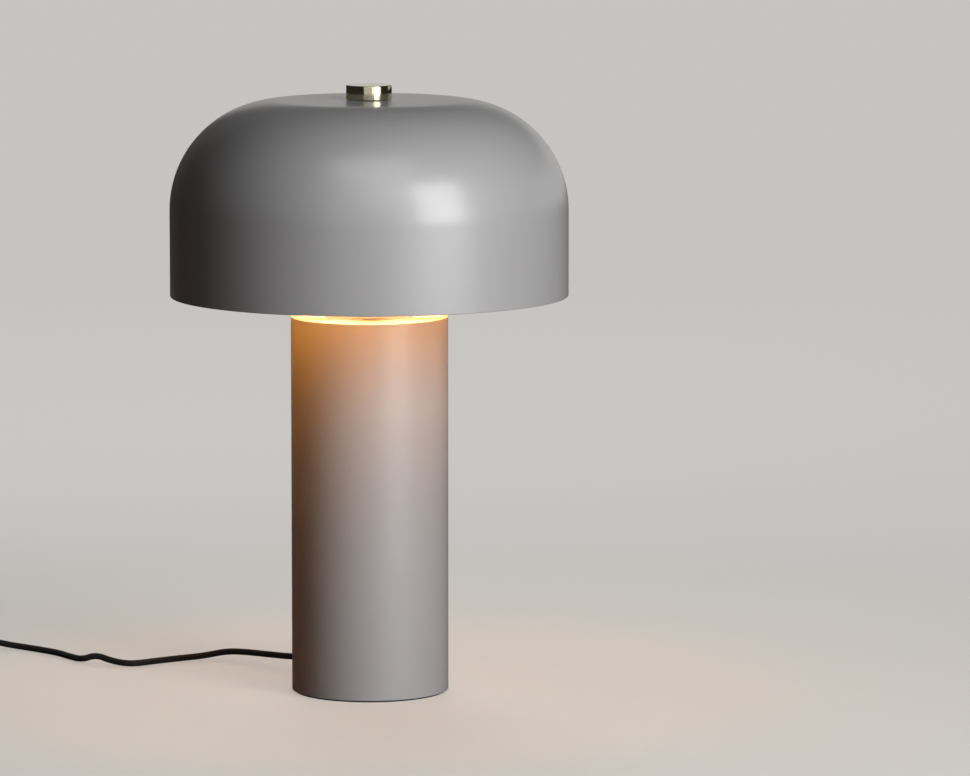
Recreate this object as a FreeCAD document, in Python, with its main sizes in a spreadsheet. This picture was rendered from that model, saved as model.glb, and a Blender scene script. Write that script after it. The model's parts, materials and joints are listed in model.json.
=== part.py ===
"""Table lamp: a tall tube base, a domed shade held by a brass knob, and a textile-covered lead.

Millimetres. The origin is on the surface under the middle of the base, +Z is up and the
front of the lamp faces -Y. Every sub-part is an object of one parametric document.
"""
import FreeCAD, Part
import math
import os
import Sketcher
from FreeCAD import Placement, Rotation, Vector

SIZES = [
    # base
    ("base_diameter", 149, "outside of the base tube"),
    ("base_wall", 1.2, "sheet of the base tube"),
    ("base_height", 357, "length of the base tube"),
    ("base_edge", 0.4, "rounding of the tube's two rims"),
    ("foot_gap", 1.5, "shadow gap between the surface and the tube"),
    ("loose_gap", 0.3, "radial room of a disc that drops into the tube"),
    ("shank_gap", 0.2, "radial room of a shank or pipe in its hole"),
    ("pad_thick", 3, "soft pad under the cover"),
    ("pad_setback", 1, "pad's rim inside the cover's rim"),
    ("cover_thick", 2, "disc that closes the base"),
    ("cover_circle", 90, "circle that the cover's screws sit on"),
    ("cavity_height", 39, "room for the lead between the cover and the weight"),
    ("standoff_across", 8, "hexagon of a standoff across its flats"),
    ("screw_diameter", 4, "shank of a cover screw and of a standoff's stud"),
    ("screw_length", 9, "shank of a cover screw"),
    ("screw_head", 7.5, "head of a cover screw"),
    ("screw_head_high", 2.2, "height of that head"),
    ("stud_length", 8, "stud on top of a standoff"),
    ("weight_thick", 20, "cast weight"),
    ("ring_thick", 3, "ledge rings welded in the tube"),
    ("ring_width", 12, "how far a ledge reaches in"),
    ("plate_recess", 3, "top plate below the tube's rim"),
    ("plate_thick", 2, "top plate"),
    ("pipe_diameter", 10, "threaded lamp pipe"),
    ("pipe_wall", 1.25, "wall of the pipe"),
    ("pipe_end", 1, "pipe below the lower nut"),
    ("pipe_grip", 9, "pipe screwed into the lamp holder"),
    ("washer_diameter", 24, "washers on the pipe"),
    ("washer_thick", 1.6, "thickness of those washers"),
    ("nut_across", 15, "hexagon of the pipe nuts"),
    ("nut_height", 5, "height of the pipe nuts"),
    # shade and what carries it
    ("shade_gap", 20, "shade's rim above the base's rim"),
    ("shade_diameter", 377, "outside of the shade"),
    ("shade_height", 185, "shade from rim to flat top"),
    ("shade_shoulder", 104, "radius of the round shoulder"),
    ("shade_wall", 1.0, "sheet of the shade"),
    ("shade_edge", 0.4, "rounding of the shade's rim"),
    ("shade_hole", 10, "hole in the flat top"),
    ("harp_thick", 2.5, "strap of the harp"),
    ("harp_width", 14, "width of that strap"),
    ("harp_span", 92, "harp across its legs"),
    ("harp_bend", 12, "outside radius of the harp's bends"),
    ("disc_diameter", 50, "disc on the harp"),
    ("disc_thick", 2, "thickness of that disc"),
    ("cushion_diameter", 36, "silicone washer under the shade"),
    ("cushion_thick", 1.5, "thickness of that washer"),
    ("bolt_diameter", 8, "bolt that the knob screws on"),
    ("bolt_head_across", 13, "hexagon of the bolt's head"),
    ("bolt_head_high", 5.3, "height of that head"),
    ("bolt_reach", 8.5, "bolt inside the knob"),
    ("thread_gap", 0.1, "radial room of the bolt in the knob"),
    ("fibre_diameter", 20, "washer under the knob"),
    ("fibre_thick", 0.5, "thickness of that washer"),
    ("knob_diameter", 43, "brass knob"),
    ("knob_height", 13.5, "height of the knob"),
    ("knob_edge", 0.8, "rounding of the knob's edges"),
    ("knob_bore", 10.5, "depth of the knob's threaded bore"),
    # lamp holder and bulb
    ("holder_diameter", 40, "lamp holder"),
    ("holder_wall", 2, "moulded wall of the holder"),
    ("holder_neck", 24, "foot of the holder's cap"),
    ("holder_cap_height", 20, "height of the cap"),
    ("collar_wall", 3, "threaded collar in the cap round the pipe"),
    ("core_thick", 7, "insulating core of the holder"),
    ("contact_thick", 0.8, "brass contact strip"),
    ("contact_width", 6, "width of a contact strip"),
    ("contact_lift", 2.4, "top of the centre contact above the core"),
    ("contact_leg", 12, "height of the side contact"),
    ("terminal_spread", 20, "between the two terminal screws"),
    ("terminal_diameter", 3, "shank of a terminal screw"),
    ("terminal_head", 5, "head of a terminal screw"),
    ("terminal_head_high", 2, "height of that head"),
    ("tip_diameter", 9, "contact tip of the bulb"),
    ("tip_high", 1.6, "height of the tip"),
    ("insulator_high", 3.4, "glass insulator of the bulb's cap"),
    ("cap_diameter", 26.4, "screw cap of the bulb"),
    ("cap_length", 22, "length of the cap"),
    ("cap_wall", 0.5, "sheet of the cap"),
    ("cap_gap", 0.5, "radial room of the cap in the holder"),
    ("neck_height", 18, "white neck of the bulb"),
    ("neck_diameter", 38, "top of that neck"),
    ("neck_foot", 29, "foot of that neck"),
    ("bulb_diameter", 60, "opal globe"),
    ("bulb_wall", 1.0, "wall of the globe"),
    # lead
    ("cord_diameter", 6.2, "textile-covered lead"),
    ("floor_gap", 0.1, "lead above the surface"),
    ("exit_height", 15.5, "axis of the lead where it leaves the base"),
    ("exit_angle", 125, "degrees from +X to where it leaves"),
    ("exit_run", 18, "straight run out of the strain relief"),
    ("relief_length", 22, "strain relief outside the base"),
    ("relief_neck", 9, "strain relief in the wall"),
    ("relief_collar", 13, "flanges of the strain relief"),
    ("relief_collar_thick", 2, "thickness of those flanges"),
    ("relief_root", 11, "tapered sleeve at its root"),
    ("relief_tip", 8.6, "tapered sleeve at its tip"),
    ("relief_gap", 0.6, "inner flange to the curved wall"),
    ("sheath_gap", 0.1, "radial room of the lead in a bore"),
    ("bend_radius", 16, "bend of the lead up into the pipe"),
    ("sheath_back", 2, "end of the sheath below the pipe's end"),
    ("wire_diameter", 2.4, "insulated core wire"),
    ("wire_spread", 3.2, "between the two core wires"),
    # in-line switch
    ("switch_x", -428, "middle of the switch"),
    ("switch_y", 246, "middle of the switch"),
    ("switch_length", 62, "switch along the lead"),
    ("switch_width", 26, "switch across the lead"),
    ("switch_height", 17, "switch from the surface up"),
    ("switch_corner", 9, "corners of the switch in plan"),
    ("switch_edge", 2.5, "rounded upper and lower edges"),
    ("switch_wall", 2, "shell of the switch"),
    ("switch_grip", 6, "lead inside the shell"),
    ("post_diameter", 6.4, "screw posts in the shells"),
    ("post_x", 21, "screw posts from the middle along the lead"),
    ("post_y", 7.2, "screw posts from the middle across the lead"),
    ("switch_screw", 2.6, "shank of a switch screw"),
    ("switch_screw_head", 4.8, "head of a switch screw"),
    ("switch_screw_high", 1.8, "height of that head"),
    ("terminal_block", 7, "brass terminal block"),
    ("terminal_place", 15, "terminal blocks from the middle"),
    ("rocker_length", 20, "rocker along the lead"),
    ("rocker_width", 10, "rocker across the lead"),
    ("rocker_low", 3.5, "rocker below its pivot"),
    ("rocker_high", 2.6, "rocker above its pivot at the middle"),
    ("rocker_rise", 2.2, "rocker's ends above its middle"),
    ("rocker_tilt", 8, "degrees that the rocker leans at rest"),
    ("rocker_gap", 0.8, "room round the rocker in its slot"),
    ("rocker_edge", 0.6, "rounding of the rocker's raised ends"),
    ("pivot_diameter", 3, "pivot pins of the rocker"),
    ("pivot_length", 1.6, "pivot pin on each side"),
    ("pivot_drop", 2.6, "pivot below the top of the switch"),
    ("pivot_gap", 0.08, "radial room of the pivot pins"),
    # coil, tie and plug
    ("coil_x", -487, "left side of the coil, where it starts and ends"),
    ("coil_y", 150, "middle of the coil"),
    ("coil_radius", 41, "outermost half turn"),
    ("coil_turns", 3, "turns in each of the two layers"),
    ("turn_gap", 0.6, "between turns and between layers"),
    ("stub_length", 8, "straight ends of the coil"),
    ("tie_width", 8, "strap that ties the coil"),
    ("tie_thick", 0.8, "thickness of the strap"),
    ("tie_gap", 0.5, "room inside the strap"),
    ("tie_corner", 3, "outside corners of the strap"),
    ("plug_length", 36, "moulded body of the plug"),
    ("plug_width", 34, "width at the pins"),
    ("plug_back", 15, "width at the lead"),
    ("plug_thick", 13.6, "thickness of the plug"),
    ("plug_edge", 2.5, "rounded edges of the plug"),
    ("plug_sleeve", 18, "tapered sleeve at the lead"),
    ("plug_sleeve_root", 11, "that sleeve at the body"),
    ("plug_grip", 8, "lead inside the body"),
    ("plug_y", 86, "end of the plug's sleeve"),
    ("pin_diameter", 4, "plug pins"),
    ("pin_length", 19, "pins outside the plug"),
    ("pin_root", 10, "pins inside the plug"),
    ("pin_spacing", 19, "between the pins"),
    ("pin_round", 1.5, "rounded pin tips"),
]

HEXAGON = math.sqrt(3)
SCREW_COUNT = 3
QUARTER_TURN = 90
FULL_TURN = 360
ARC_SHARE = 0.45
GAP_STEP = 3.0
SAME_LEVEL = 0.001


class Size:
    """A length with its value now and the sheet formula that gives it."""

    def __init__(self, value, formula):
        self.value = value
        self.formula = formula

    def __add__(self, other):
        return Size(self.value + value_of(other), f"({self.formula} + {formula_of(other)})")

    def __radd__(self, other):
        return Size(value_of(other) + self.value, f"({formula_of(other)} + {self.formula})")

    def __sub__(self, other):
        return Size(self.value - value_of(other), f"({self.formula} - {formula_of(other)})")

    def __rsub__(self, other):
        return Size(value_of(other) - self.value, f"({formula_of(other)} - {self.formula})")

    def __mul__(self, other):
        return Size(self.value * value_of(other), f"({self.formula} * {formula_of(other)})")

    def __truediv__(self, other):
        return Size(self.value / value_of(other), f"({self.formula} / {formula_of(other)})")

    def __neg__(self):
        return Size(-self.value, f"(-1 * {self.formula})")


def value_of(size):
    return size.value if isinstance(size, Size) else size


def formula_of(size):
    return size.formula if isinstance(size, Size) else repr(size)


def leg(long_side, short_side):
    """The other leg of a right triangle with this long side and one leg."""
    value = math.sqrt(value_of(long_side) ** 2 - value_of(short_side) ** 2)
    return Size(value, f"sqrt(({formula_of(long_side)})^2 - ({formula_of(short_side)})^2)")


class Sheet:
    """The document's spreadsheet, read as one Size for each alias."""

    def __init__(self, document):
        self.cells = document.addObject("Spreadsheet::Sheet", "dims")
        for row, (alias, value, meaning) in enumerate(SIZES, start=1):
            self.cells.set(f"A{row}", meaning)
            self.cells.set(f"B{row}", str(value))
            self.cells.setAlias(f"B{row}", alias)
        document.recompute()

    def __getattr__(self, alias):
        return Size(float(self.cells.get(alias)), f"dims.{alias}")


doc = FreeCAD.newDocument("TableLamp")
dim = Sheet(doc)
sub_parts = []


# Building blocks

def bind(feature, prop, size):
    feature.setExpression(prop, formula_of(size))


def place(feature, x=0, y=0, z=0, turn=None, axis=Vector(0, 0, 1)):
    """Bind a feature's place and, where one is given, its turn in degrees about an axis."""
    bind(feature, "Placement.Base.x", x)
    bind(feature, "Placement.Base.y", y)
    bind(feature, "Placement.Base.z", z)
    if turn is not None:
        feature.Placement = Placement(Vector(0, 0, 0), Rotation(axis, 1))
        bind(feature, "Placement.Rotation.Angle", turn)
    return feature


def keep(feature, label):
    feature.Label = label
    sub_parts.append(feature)
    return feature


def cylinder(radius, bottom, height, x=0, y=0):
    made = doc.addObject("Part::Cylinder", "cylinder")
    bind(made, "Radius", radius)
    bind(made, "Height", height)
    return place(made, x, y, bottom)


def cone(radius_low, radius_high, bottom, height):
    made = doc.addObject("Part::Cone", "cone")
    bind(made, "Radius1", radius_low)
    bind(made, "Radius2", radius_high)
    bind(made, "Height", height)
    return place(made, 0, 0, bottom)


def hexagon(across, bottom, height, x=0):
    made = doc.addObject("Part::Prism", "hexagon")
    made.Polygon = 6
    bind(made, "Circumradius", across / HEXAGON)
    bind(made, "Height", height)
    return place(made, x, 0, bottom)


def cut(base, tool):
    made = doc.addObject("Part::Cut", "cut")
    made.Base = base
    made.Tool = tool
    return made


def fuse(*shapes):
    made = doc.addObject("Part::MultiFuse", "fuse")
    made.Shapes = list(shapes)
    return made


def group(*shapes):
    made = doc.addObject("Part::Compound", "group")
    made.Links = list(shapes)
    return made


def ring(outer, inner, bottom, height):
    return cut(cylinder(outer, bottom, height), cylinder(inner, bottom, height))


def body(label):
    return keep(doc.addObject("PartDesign::Body", label), label)


def sketch_on(owner, role, offset=None):
    """An empty sketch on one of a body's origin planes, moved along the plane's normal by offset."""
    made = owner.newObject("Sketcher::SketchObject", f"{owner.Name}_outline")
    flat = next(plane for plane in owner.Origin.OriginFeatures if plane.Role == role)
    made.AttachmentSupport = (flat, [""])
    made.MapMode = "FlatFace"
    if offset is not None:
        bind(made, "AttachmentOffset.Base.z", offset)
    return made


def hold_point(sketch, item, end, x, y):
    """Hold one point of a sketch at sheet coordinates."""
    for kind, axis, size in (("DistanceX", -2, x), ("DistanceY", -1, y)):
        if not isinstance(size, Size) and size == 0:
            sketch.addConstraint(Sketcher.Constraint("PointOnObject", item, end, axis))
        else:
            index = sketch.addConstraint(Sketcher.Constraint(kind, item, end, value_of(size)))
            bind(sketch, f"Constraints[{index}]", size)


def fillet_ends(before, corner, after, radius):
    """Where a corner's arc touches its two sides, and the arc's centre."""
    back = (before - corner).normalize()
    ahead = (after - corner).normalize()
    half = back.getAngle(ahead) / 2
    reach = radius / math.tan(half)
    centre = corner + (back + ahead).normalize() * (radius / math.sin(half))
    return corner + back * reach, corner + ahead * reach, centre


def outline(sketch, corners):
    """A closed outline through corners given as (x, y) or (x, y, radius)."""
    spots = [Vector(value_of(corner[0]), value_of(corner[1]), 0) for corner in corners]
    count = len(corners)
    arrive = list(spots)
    leave = list(spots)
    centres = [None] * count
    for index, corner in enumerate(corners):
        if len(corner) == 3:
            following = spots[(index + 1) % count]
            ends = fillet_ends(spots[index - 1], spots[index], following, value_of(corner[2]))
            arrive[index], leave[index], centres[index] = ends
    sides = []
    for index in range(count):
        side = Part.LineSegment(leave[index], arrive[(index + 1) % count])
        sides.append(sketch.addGeometry(side, False))
    for index, corner in enumerate(corners):
        before, after = sides[index - 1], sides[index]
        if centres[index] is None:
            sketch.addConstraint(Sketcher.Constraint("Coincident", before, 2, after, 1))
            hold_point(sketch, after, 1, corner[0], corner[1])
            continue
        round_corner(sketch, before, after, corner, (arrive[index], leave[index], centres[index]))


def round_corner(sketch, before, after, corner, ends):
    """Join two sides by an arc whose sharp corner and radius are held by the sheet."""
    arrive, leave, centre = ends
    first = arrive - centre
    last = leave - centre
    left_turn = first.cross(last).z > 0
    start, stop = (first, last) if left_turn else (last, first)
    circle = Part.Circle(centre, Vector(0, 0, 1), first.Length)
    angles = [math.atan2(spoke.y, spoke.x) for spoke in (start, stop)]
    arc = sketch.addGeometry(Part.ArcOfCircle(circle, *angles), False)
    point = sketch.addGeometry(Part.Point(Vector(value_of(corner[0]), value_of(corner[1]), 0)), True)
    near, far = (1, 2) if left_turn else (2, 1)
    sketch.addConstraint(Sketcher.Constraint("Tangent", before, 2, arc, near))
    sketch.addConstraint(Sketcher.Constraint("Tangent", arc, far, after, 1))
    sketch.addConstraint(Sketcher.Constraint("PointOnObject", point, 1, before))
    sketch.addConstraint(Sketcher.Constraint("PointOnObject", point, 1, after))
    hold_point(sketch, point, 1, corner[0], corner[1])
    index = sketch.addConstraint(Sketcher.Constraint("Radius", arc, first.Length))
    bind(sketch, f"Constraints[{index}]", corner[2])


def circle_in(sketch, x, y, radius):
    centre = Vector(value_of(x), value_of(y), 0)
    item = sketch.addGeometry(Part.Circle(centre, Vector(0, 0, 1), value_of(radius)))
    hold_point(sketch, item, 3, x, y)
    index = sketch.addConstraint(Sketcher.Constraint("Radius", item, value_of(radius)))
    bind(sketch, f"Constraints[{index}]", radius)


def turned(owner, corners, axis="V_Axis"):
    """Turn an outline in the XZ plane about one of the sketch's axes."""
    sketch = sketch_on(owner, "XZ_Plane")
    outline(sketch, corners)
    made = owner.newObject("PartDesign::Revolution", f"{owner.Name}_turned")
    made.Profile = sketch
    made.ReferenceAxis = (sketch, [axis])
    made.Angle = FULL_TURN
    return made


def padded(owner, sketch, length, both_sides=False):
    made = owner.newObject("PartDesign::Pad", f"{owner.Name}_pad")
    made.Profile = sketch
    bind(made, "Length", length)
    if both_sides:
        made.SideType = "Symmetric"
    return made


def pocketed(owner, sketch, length, towards_normal=False, both_sides=False):
    """Cut a sketch out of a body, and stop if nothing was cut."""
    doc.recompute()
    before = owner.Shape.Volume
    made = owner.newObject("PartDesign::Pocket", f"{owner.Name}_pocket")
    made.Profile = sketch
    bind(made, "Length", length)
    made.Reversed = towards_normal
    if both_sides:
        made.SideType = "Symmetric"
    doc.recompute()
    if owner.Shape.Volume >= before:
        raise ValueError(f"a pocket of {owner.Name} cut nothing")
    return made


# Heights that several pieces share

base_radius = dim.base_diameter / 2
base_inside = base_radius - dim.base_wall
base_top = dim.foot_gap + dim.base_height
disc_radius = base_inside - dim.loose_gap
cover_top = dim.pad_thick + dim.cover_thick
weight_bottom = cover_top + dim.cavity_height
weight_top = weight_bottom + dim.weight_thick
plate_top = base_top - dim.plate_recess
plate_bottom = plate_top - dim.plate_thick
pipe_radius = dim.pipe_diameter / 2
pipe_hole = pipe_radius + dim.shank_gap
pipe_bore = pipe_radius - dim.pipe_wall
lower_nut_top = weight_bottom - dim.washer_thick
pipe_bottom = lower_nut_top - dim.nut_height - dim.pipe_end
harp_foot = plate_top + dim.harp_thick
upper_nut_bottom = harp_foot + dim.washer_thick
holder_bottom = upper_nut_bottom + dim.nut_height
pipe_top = holder_bottom + dim.pipe_grip
core_bottom = holder_bottom + dim.holder_cap_height
core_top = core_bottom + dim.core_thick
tip_bottom = core_top + dim.contact_lift
insulator_bottom = tip_bottom + dim.tip_high
cap_bottom = insulator_bottom + dim.insulator_high
neck_bottom = cap_bottom + dim.cap_length
neck_top = neck_bottom + dim.neck_height
shade_rim = base_top + dim.shade_gap
shade_top = shade_rim + dim.shade_height
cushion_bottom = shade_top - dim.shade_wall - dim.cushion_thick
harp_top = cushion_bottom - dim.disc_thick
knob_bottom = shade_top + dim.fibre_thick
knob_top = knob_bottom + dim.knob_height
cord_radius = dim.cord_diameter / 2
relief_end = base_radius + dim.relief_length


# Base

def make_base_tube():
    """The tube, with the lead's hole on its local +X side, then turned to where the lead leaves."""
    tube = body("base_tube")
    turned(tube, [
        (base_inside, dim.foot_gap, dim.base_edge),
        (base_radius, dim.foot_gap, dim.base_edge),
        (base_radius, base_top, dim.base_edge),
        (base_inside, base_top, dim.base_edge),
    ])
    hole = sketch_on(tube, "YZ_Plane")
    circle_in(hole, 0, dim.exit_height, dim.relief_neck / 2 + dim.shank_gap)
    pocketed(tube, hole, dim.base_diameter, towards_normal=True)
    place(tube, turn=dim.exit_angle)


def make_ledges():
    """Two flat rings welded inside the tube, one over the weight and one under the top plate."""
    inner = base_inside - dim.ring_width
    keep(ring(base_inside, inner, weight_top, dim.ring_thick), "lower_ring")
    keep(ring(base_inside, inner, plate_bottom - dim.ring_thick, dim.ring_thick), "upper_ring")


def screw_turns():
    """Turns of the cover's screws, which leave the lead's way free."""
    step = FULL_TURN / SCREW_COUNT
    return [dim.exit_angle + step / 2 + step * index for index in range(SCREW_COUNT)]


def screw_holes(radius, bottom, height):
    """Tools for the screws' holes, one at each turn."""
    tools = []
    for turn in screw_turns():
        tool = group(cylinder(radius, bottom, height, x=dim.cover_circle / 2))
        tools.append(place(tool, turn=turn))
    return fuse(*tools)


def make_weight():
    disc = cylinder(disc_radius, weight_bottom, dim.weight_thick)
    bored = cut(disc, cylinder(pipe_hole, weight_bottom, dim.weight_thick))
    studs = screw_holes(dim.screw_diameter / 2, weight_bottom, dim.stud_length)
    keep(cut(bored, studs), "base_weight")


def make_bottom():
    """The cover, its pad, and the standoffs and screws that hold it to the weight."""
    cover_bottom = dim.pad_thick
    cover = cylinder(disc_radius, cover_bottom, dim.cover_thick)
    holes = screw_holes(dim.screw_diameter / 2 + dim.shank_gap, cover_bottom, dim.cover_thick)
    keep(cut(cover, holes), "bottom_cover")
    pad = cylinder(disc_radius - dim.pad_setback, 0, dim.pad_thick)
    keep(cut(pad, screw_holes(dim.screw_head / 2 + dim.loose_gap, 0, dim.pad_thick)), "foot_pad")
    place_x = dim.cover_circle / 2
    standoffs = []
    screws = []
    shank = dim.screw_diameter / 2
    for turn in screw_turns():
        post = hexagon(dim.standoff_across, cover_top, dim.cavity_height, x=place_x)
        stud = cylinder(shank, weight_bottom, dim.stud_length, x=place_x)
        bore = cylinder(shank, cover_top, dim.screw_length - dim.cover_thick, x=place_x)
        standoffs.append(place(cut(fuse(post, stud), bore), turn=turn))
        head_bottom = cover_bottom - dim.screw_head_high
        head = cylinder(dim.screw_head / 2, head_bottom, dim.screw_head_high, x=place_x)
        thread = cylinder(shank, cover_bottom, dim.screw_length, x=place_x)
        screws.append(place(fuse(head, thread), turn=turn))
    keep(group(*standoffs), "cover_standoffs")
    keep(group(*screws), "cover_screws")


def nut(label, bottom):
    keep(cut(hexagon(dim.nut_across, bottom, dim.nut_height),
             cylinder(pipe_radius, bottom, dim.nut_height)), label)


def make_clamp():
    """The lamp pipe with its washers and nuts, and the top plate that it pulls down."""
    keep(ring(disc_radius, pipe_hole, plate_bottom, dim.plate_thick), "top_plate")
    keep(ring(pipe_radius, pipe_bore, pipe_bottom, pipe_top - pipe_bottom), "tie_pipe")
    keep(ring(dim.washer_diameter / 2, pipe_hole, lower_nut_top, dim.washer_thick), "lower_washer")
    nut("lower_nut", lower_nut_top - dim.nut_height)
    keep(ring(dim.washer_diameter / 2, pipe_hole, harp_foot, dim.washer_thick), "upper_washer")
    nut("upper_nut", upper_nut_bottom)


# Shade and what carries it

def make_shade():
    """A spun dome: flat top, round shoulder, straight wall."""
    radius = dim.shade_diameter / 2
    inside = radius - dim.shade_wall
    hole = dim.shade_hole / 2
    turned(body("shade"), [
        (hole, shade_top),
        (radius, shade_top, dim.shade_shoulder),
        (radius, shade_rim, dim.shade_edge),
        (inside, shade_rim, dim.shade_edge),
        (inside, shade_top - dim.shade_wall, dim.shade_shoulder - dim.shade_wall),
        (hole, shade_top - dim.shade_wall),
    ])


def make_harp():
    """A closed loop of strap round the lamp holder and the bulb, bored for the pipe and the bolt."""
    harp = body("harp")
    outer = dim.harp_span / 2
    inner = outer - dim.harp_thick
    inner_bend = dim.harp_bend - dim.harp_thick
    loop = sketch_on(harp, "XZ_Plane")
    outline(loop, [(-outer, plate_top, dim.harp_bend), (outer, plate_top, dim.harp_bend),
                   (outer, harp_top, dim.harp_bend), (-outer, harp_top, dim.harp_bend)])
    outline(loop, [(-inner, harp_foot, inner_bend), (inner, harp_foot, inner_bend),
                   (inner, harp_top - dim.harp_thick, inner_bend),
                   (-inner, harp_top - dim.harp_thick, inner_bend)])
    padded(harp, loop, dim.harp_width, both_sides=True)
    foot_hole = sketch_on(harp, "XY_Plane", plate_top)
    circle_in(foot_hole, 0, 0, pipe_hole)
    pocketed(harp, foot_hole, dim.harp_thick, towards_normal=True)
    top_hole = sketch_on(harp, "XY_Plane", harp_top)
    circle_in(top_hole, 0, 0, dim.bolt_diameter / 2)
    pocketed(harp, top_hole, dim.harp_thick)


def make_seat():
    """The disc, silicone washer and bolt on top of the harp, and the washer under the knob."""
    bolt = dim.bolt_diameter / 2
    keep(ring(dim.disc_diameter / 2, bolt, harp_top, dim.disc_thick), "seat_disc")
    cushion_hole = bolt + dim.shank_gap
    keep(ring(dim.cushion_diameter / 2, cushion_hole, cushion_bottom, dim.cushion_thick), "seat_washer")
    head_top = harp_top - dim.harp_thick
    head = hexagon(dim.bolt_head_across, head_top - dim.bolt_head_high, dim.bolt_head_high)
    shank = cylinder(bolt, head_top, knob_bottom + dim.bolt_reach - head_top)
    keep(fuse(head, shank), "harp_bolt")
    keep(ring(dim.fibre_diameter / 2, dim.shade_hole / 2, shade_top, dim.fibre_thick), "knob_washer")


def make_knob():
    radius = dim.knob_diameter / 2
    bore = dim.bolt_diameter / 2 + dim.thread_gap
    turned(body("knob"), [
        (bore, knob_bottom),
        (radius, knob_bottom, dim.knob_edge),
        (radius, knob_top, dim.knob_edge),
        (0, knob_top),
        (0, knob_bottom + dim.knob_bore),
        (bore, knob_bottom + dim.knob_bore),
    ])


# Lamp holder and bulb

def make_holder():
    """The holder's cap, its core, and the skirt with a bore for the bulb's cap."""
    outside = dim.holder_diameter / 2
    inside = outside - dim.holder_wall
    foot = dim.holder_neck / 2
    collar = pipe_radius + dim.collar_wall
    slope = outside - foot
    turned(body("holder_cap"), [
        (pipe_radius, holder_bottom),
        (foot, holder_bottom),
        (outside, holder_bottom + slope),
        (outside, core_bottom),
        (inside, core_bottom),
        (inside, holder_bottom + slope + dim.holder_wall / 2),
        (collar, holder_bottom + dim.holder_wall),
        (collar, pipe_top),
        (pipe_radius, pipe_top),
    ])
    core_radius = inside - dim.shank_gap
    core = cylinder(core_radius, core_bottom, dim.core_thick)
    for side in (-1, 1):
        core = cut(core, cylinder(dim.terminal_diameter / 2, core_bottom, dim.core_thick,
                                  x=dim.terminal_spread / 2 * side))
    keep(core, "holder_core")
    bore = dim.cap_diameter / 2 + dim.cap_gap
    skirt_top = neck_bottom - dim.cap_gap
    skirt = body("holder_skirt")
    turned(skirt, [
        (inside, core_bottom),
        (outside, core_bottom),
        (outside, skirt_top, dim.holder_wall),
        (bore, skirt_top),
        (bore, core_top),
        (inside, core_top),
    ])
    slot_half = dim.contact_width / 2 + dim.shank_gap
    slot = sketch_on(skirt, "XY_Plane", core_top)
    slot_end = bore + dim.contact_thick + dim.shank_gap
    outline(slot, [(0, -slot_half), (slot_end, -slot_half), (slot_end, slot_half), (0, slot_half)])
    pocketed(skirt, slot, dim.contact_leg + dim.shank_gap, towards_normal=True)


def make_contacts():
    """A raised centre strip and an upright side strip, each held by its terminal screw."""
    thick = dim.contact_thick
    reach = dim.terminal_spread / 2
    foot_end = reach + dim.terminal_diameter / 2 + dim.shank_gap
    foot_start = reach - dim.terminal_diameter
    tab = dim.tip_diameter / 2
    tab_low = tip_bottom - thick
    centre = body("centre_contact")
    strip = sketch_on(centre, "XZ_Plane")
    outline(strip, [
        (-foot_end, core_top), (-foot_start, core_top), (-tab, tab_low), (tab, tab_low),
        (tab, tip_bottom), (-tab - thick, tip_bottom), (-foot_start - thick, core_top + thick),
        (-foot_end, core_top + thick),
    ])
    padded(centre, strip, dim.contact_width, both_sides=True)
    bore = dim.cap_diameter / 2 + dim.cap_gap
    side = body("side_contact")
    strip = sketch_on(side, "XZ_Plane")
    outline(strip, [
        (foot_start, core_top), (bore + thick, core_top), (bore + thick, core_top + dim.contact_leg),
        (bore, core_top + dim.contact_leg), (bore, core_top + thick), (foot_start, core_top + thick),
    ])
    padded(side, strip, dim.contact_width, both_sides=True)
    screws = []
    for sign in (-1, 1):
        shank = cylinder(dim.terminal_diameter / 2, core_bottom, dim.core_thick, x=reach * sign)
        head = cylinder(dim.terminal_head / 2, core_bottom - dim.terminal_head_high,
                        dim.terminal_head_high, x=reach * sign)
        screws.append(fuse(head, shank))
    keep(group(*screws), "terminal_screws")


def make_bulb():
    """A screw-cap bulb: tip, insulator, cap, white neck and opal globe."""
    keep(cylinder(dim.tip_diameter / 2, tip_bottom, dim.tip_high), "bulb_tip")
    cap_radius = dim.cap_diameter / 2
    cap_inside = cap_radius - dim.cap_wall
    keep(cone(dim.tip_diameter / 2, cap_inside, insulator_bottom, dim.insulator_high), "bulb_insulator")
    keep(ring(cap_radius, cap_inside, cap_bottom, dim.cap_length), "bulb_cap")
    foot = dim.neck_foot / 2
    neck = dim.neck_diameter / 2
    turned(body("bulb_neck"), [
        (0, neck_bottom), (foot, neck_bottom), (neck, neck_top), (0, neck_top),
    ])
    globe = dim.bulb_diameter / 2
    centre = neck_top + leg(globe, neck)
    outer = doc.addObject("Part::Sphere", "globe")
    bind(outer, "Radius", globe)
    outer.setExpression("Angle1", f"-acos({formula_of(neck)} / {formula_of(globe)})")
    place(outer, z=centre)
    inner = doc.addObject("Part::Sphere", "hollow")
    bind(inner, "Radius", globe - dim.bulb_wall)
    place(inner, z=centre)
    keep(cut(outer, inner), "bulb_glass")


# Lead inside the base

def make_relief():
    """A bushing snapped into the wall, with a tapered sleeve round the lead outside."""
    relief = body("strain_relief")
    bore = cord_radius + dim.sheath_gap
    collar = dim.relief_collar / 2
    neck = dim.relief_neck / 2
    inner_face = base_inside - dim.relief_gap
    turned(relief, [
        (inner_face - dim.relief_collar_thick, bore),
        (inner_face - dim.relief_collar_thick, collar),
        (inner_face, collar),
        (inner_face, neck),
        (base_radius, neck),
        (base_radius, collar),
        (base_radius + dim.relief_collar_thick, collar),
        (base_radius + dim.relief_collar_thick, dim.relief_root / 2),
        (relief_end, dim.relief_tip / 2),
        (relief_end, bore),
    ], axis="H_Axis")
    place(relief, z=dim.exit_height, turn=dim.exit_angle)


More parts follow.
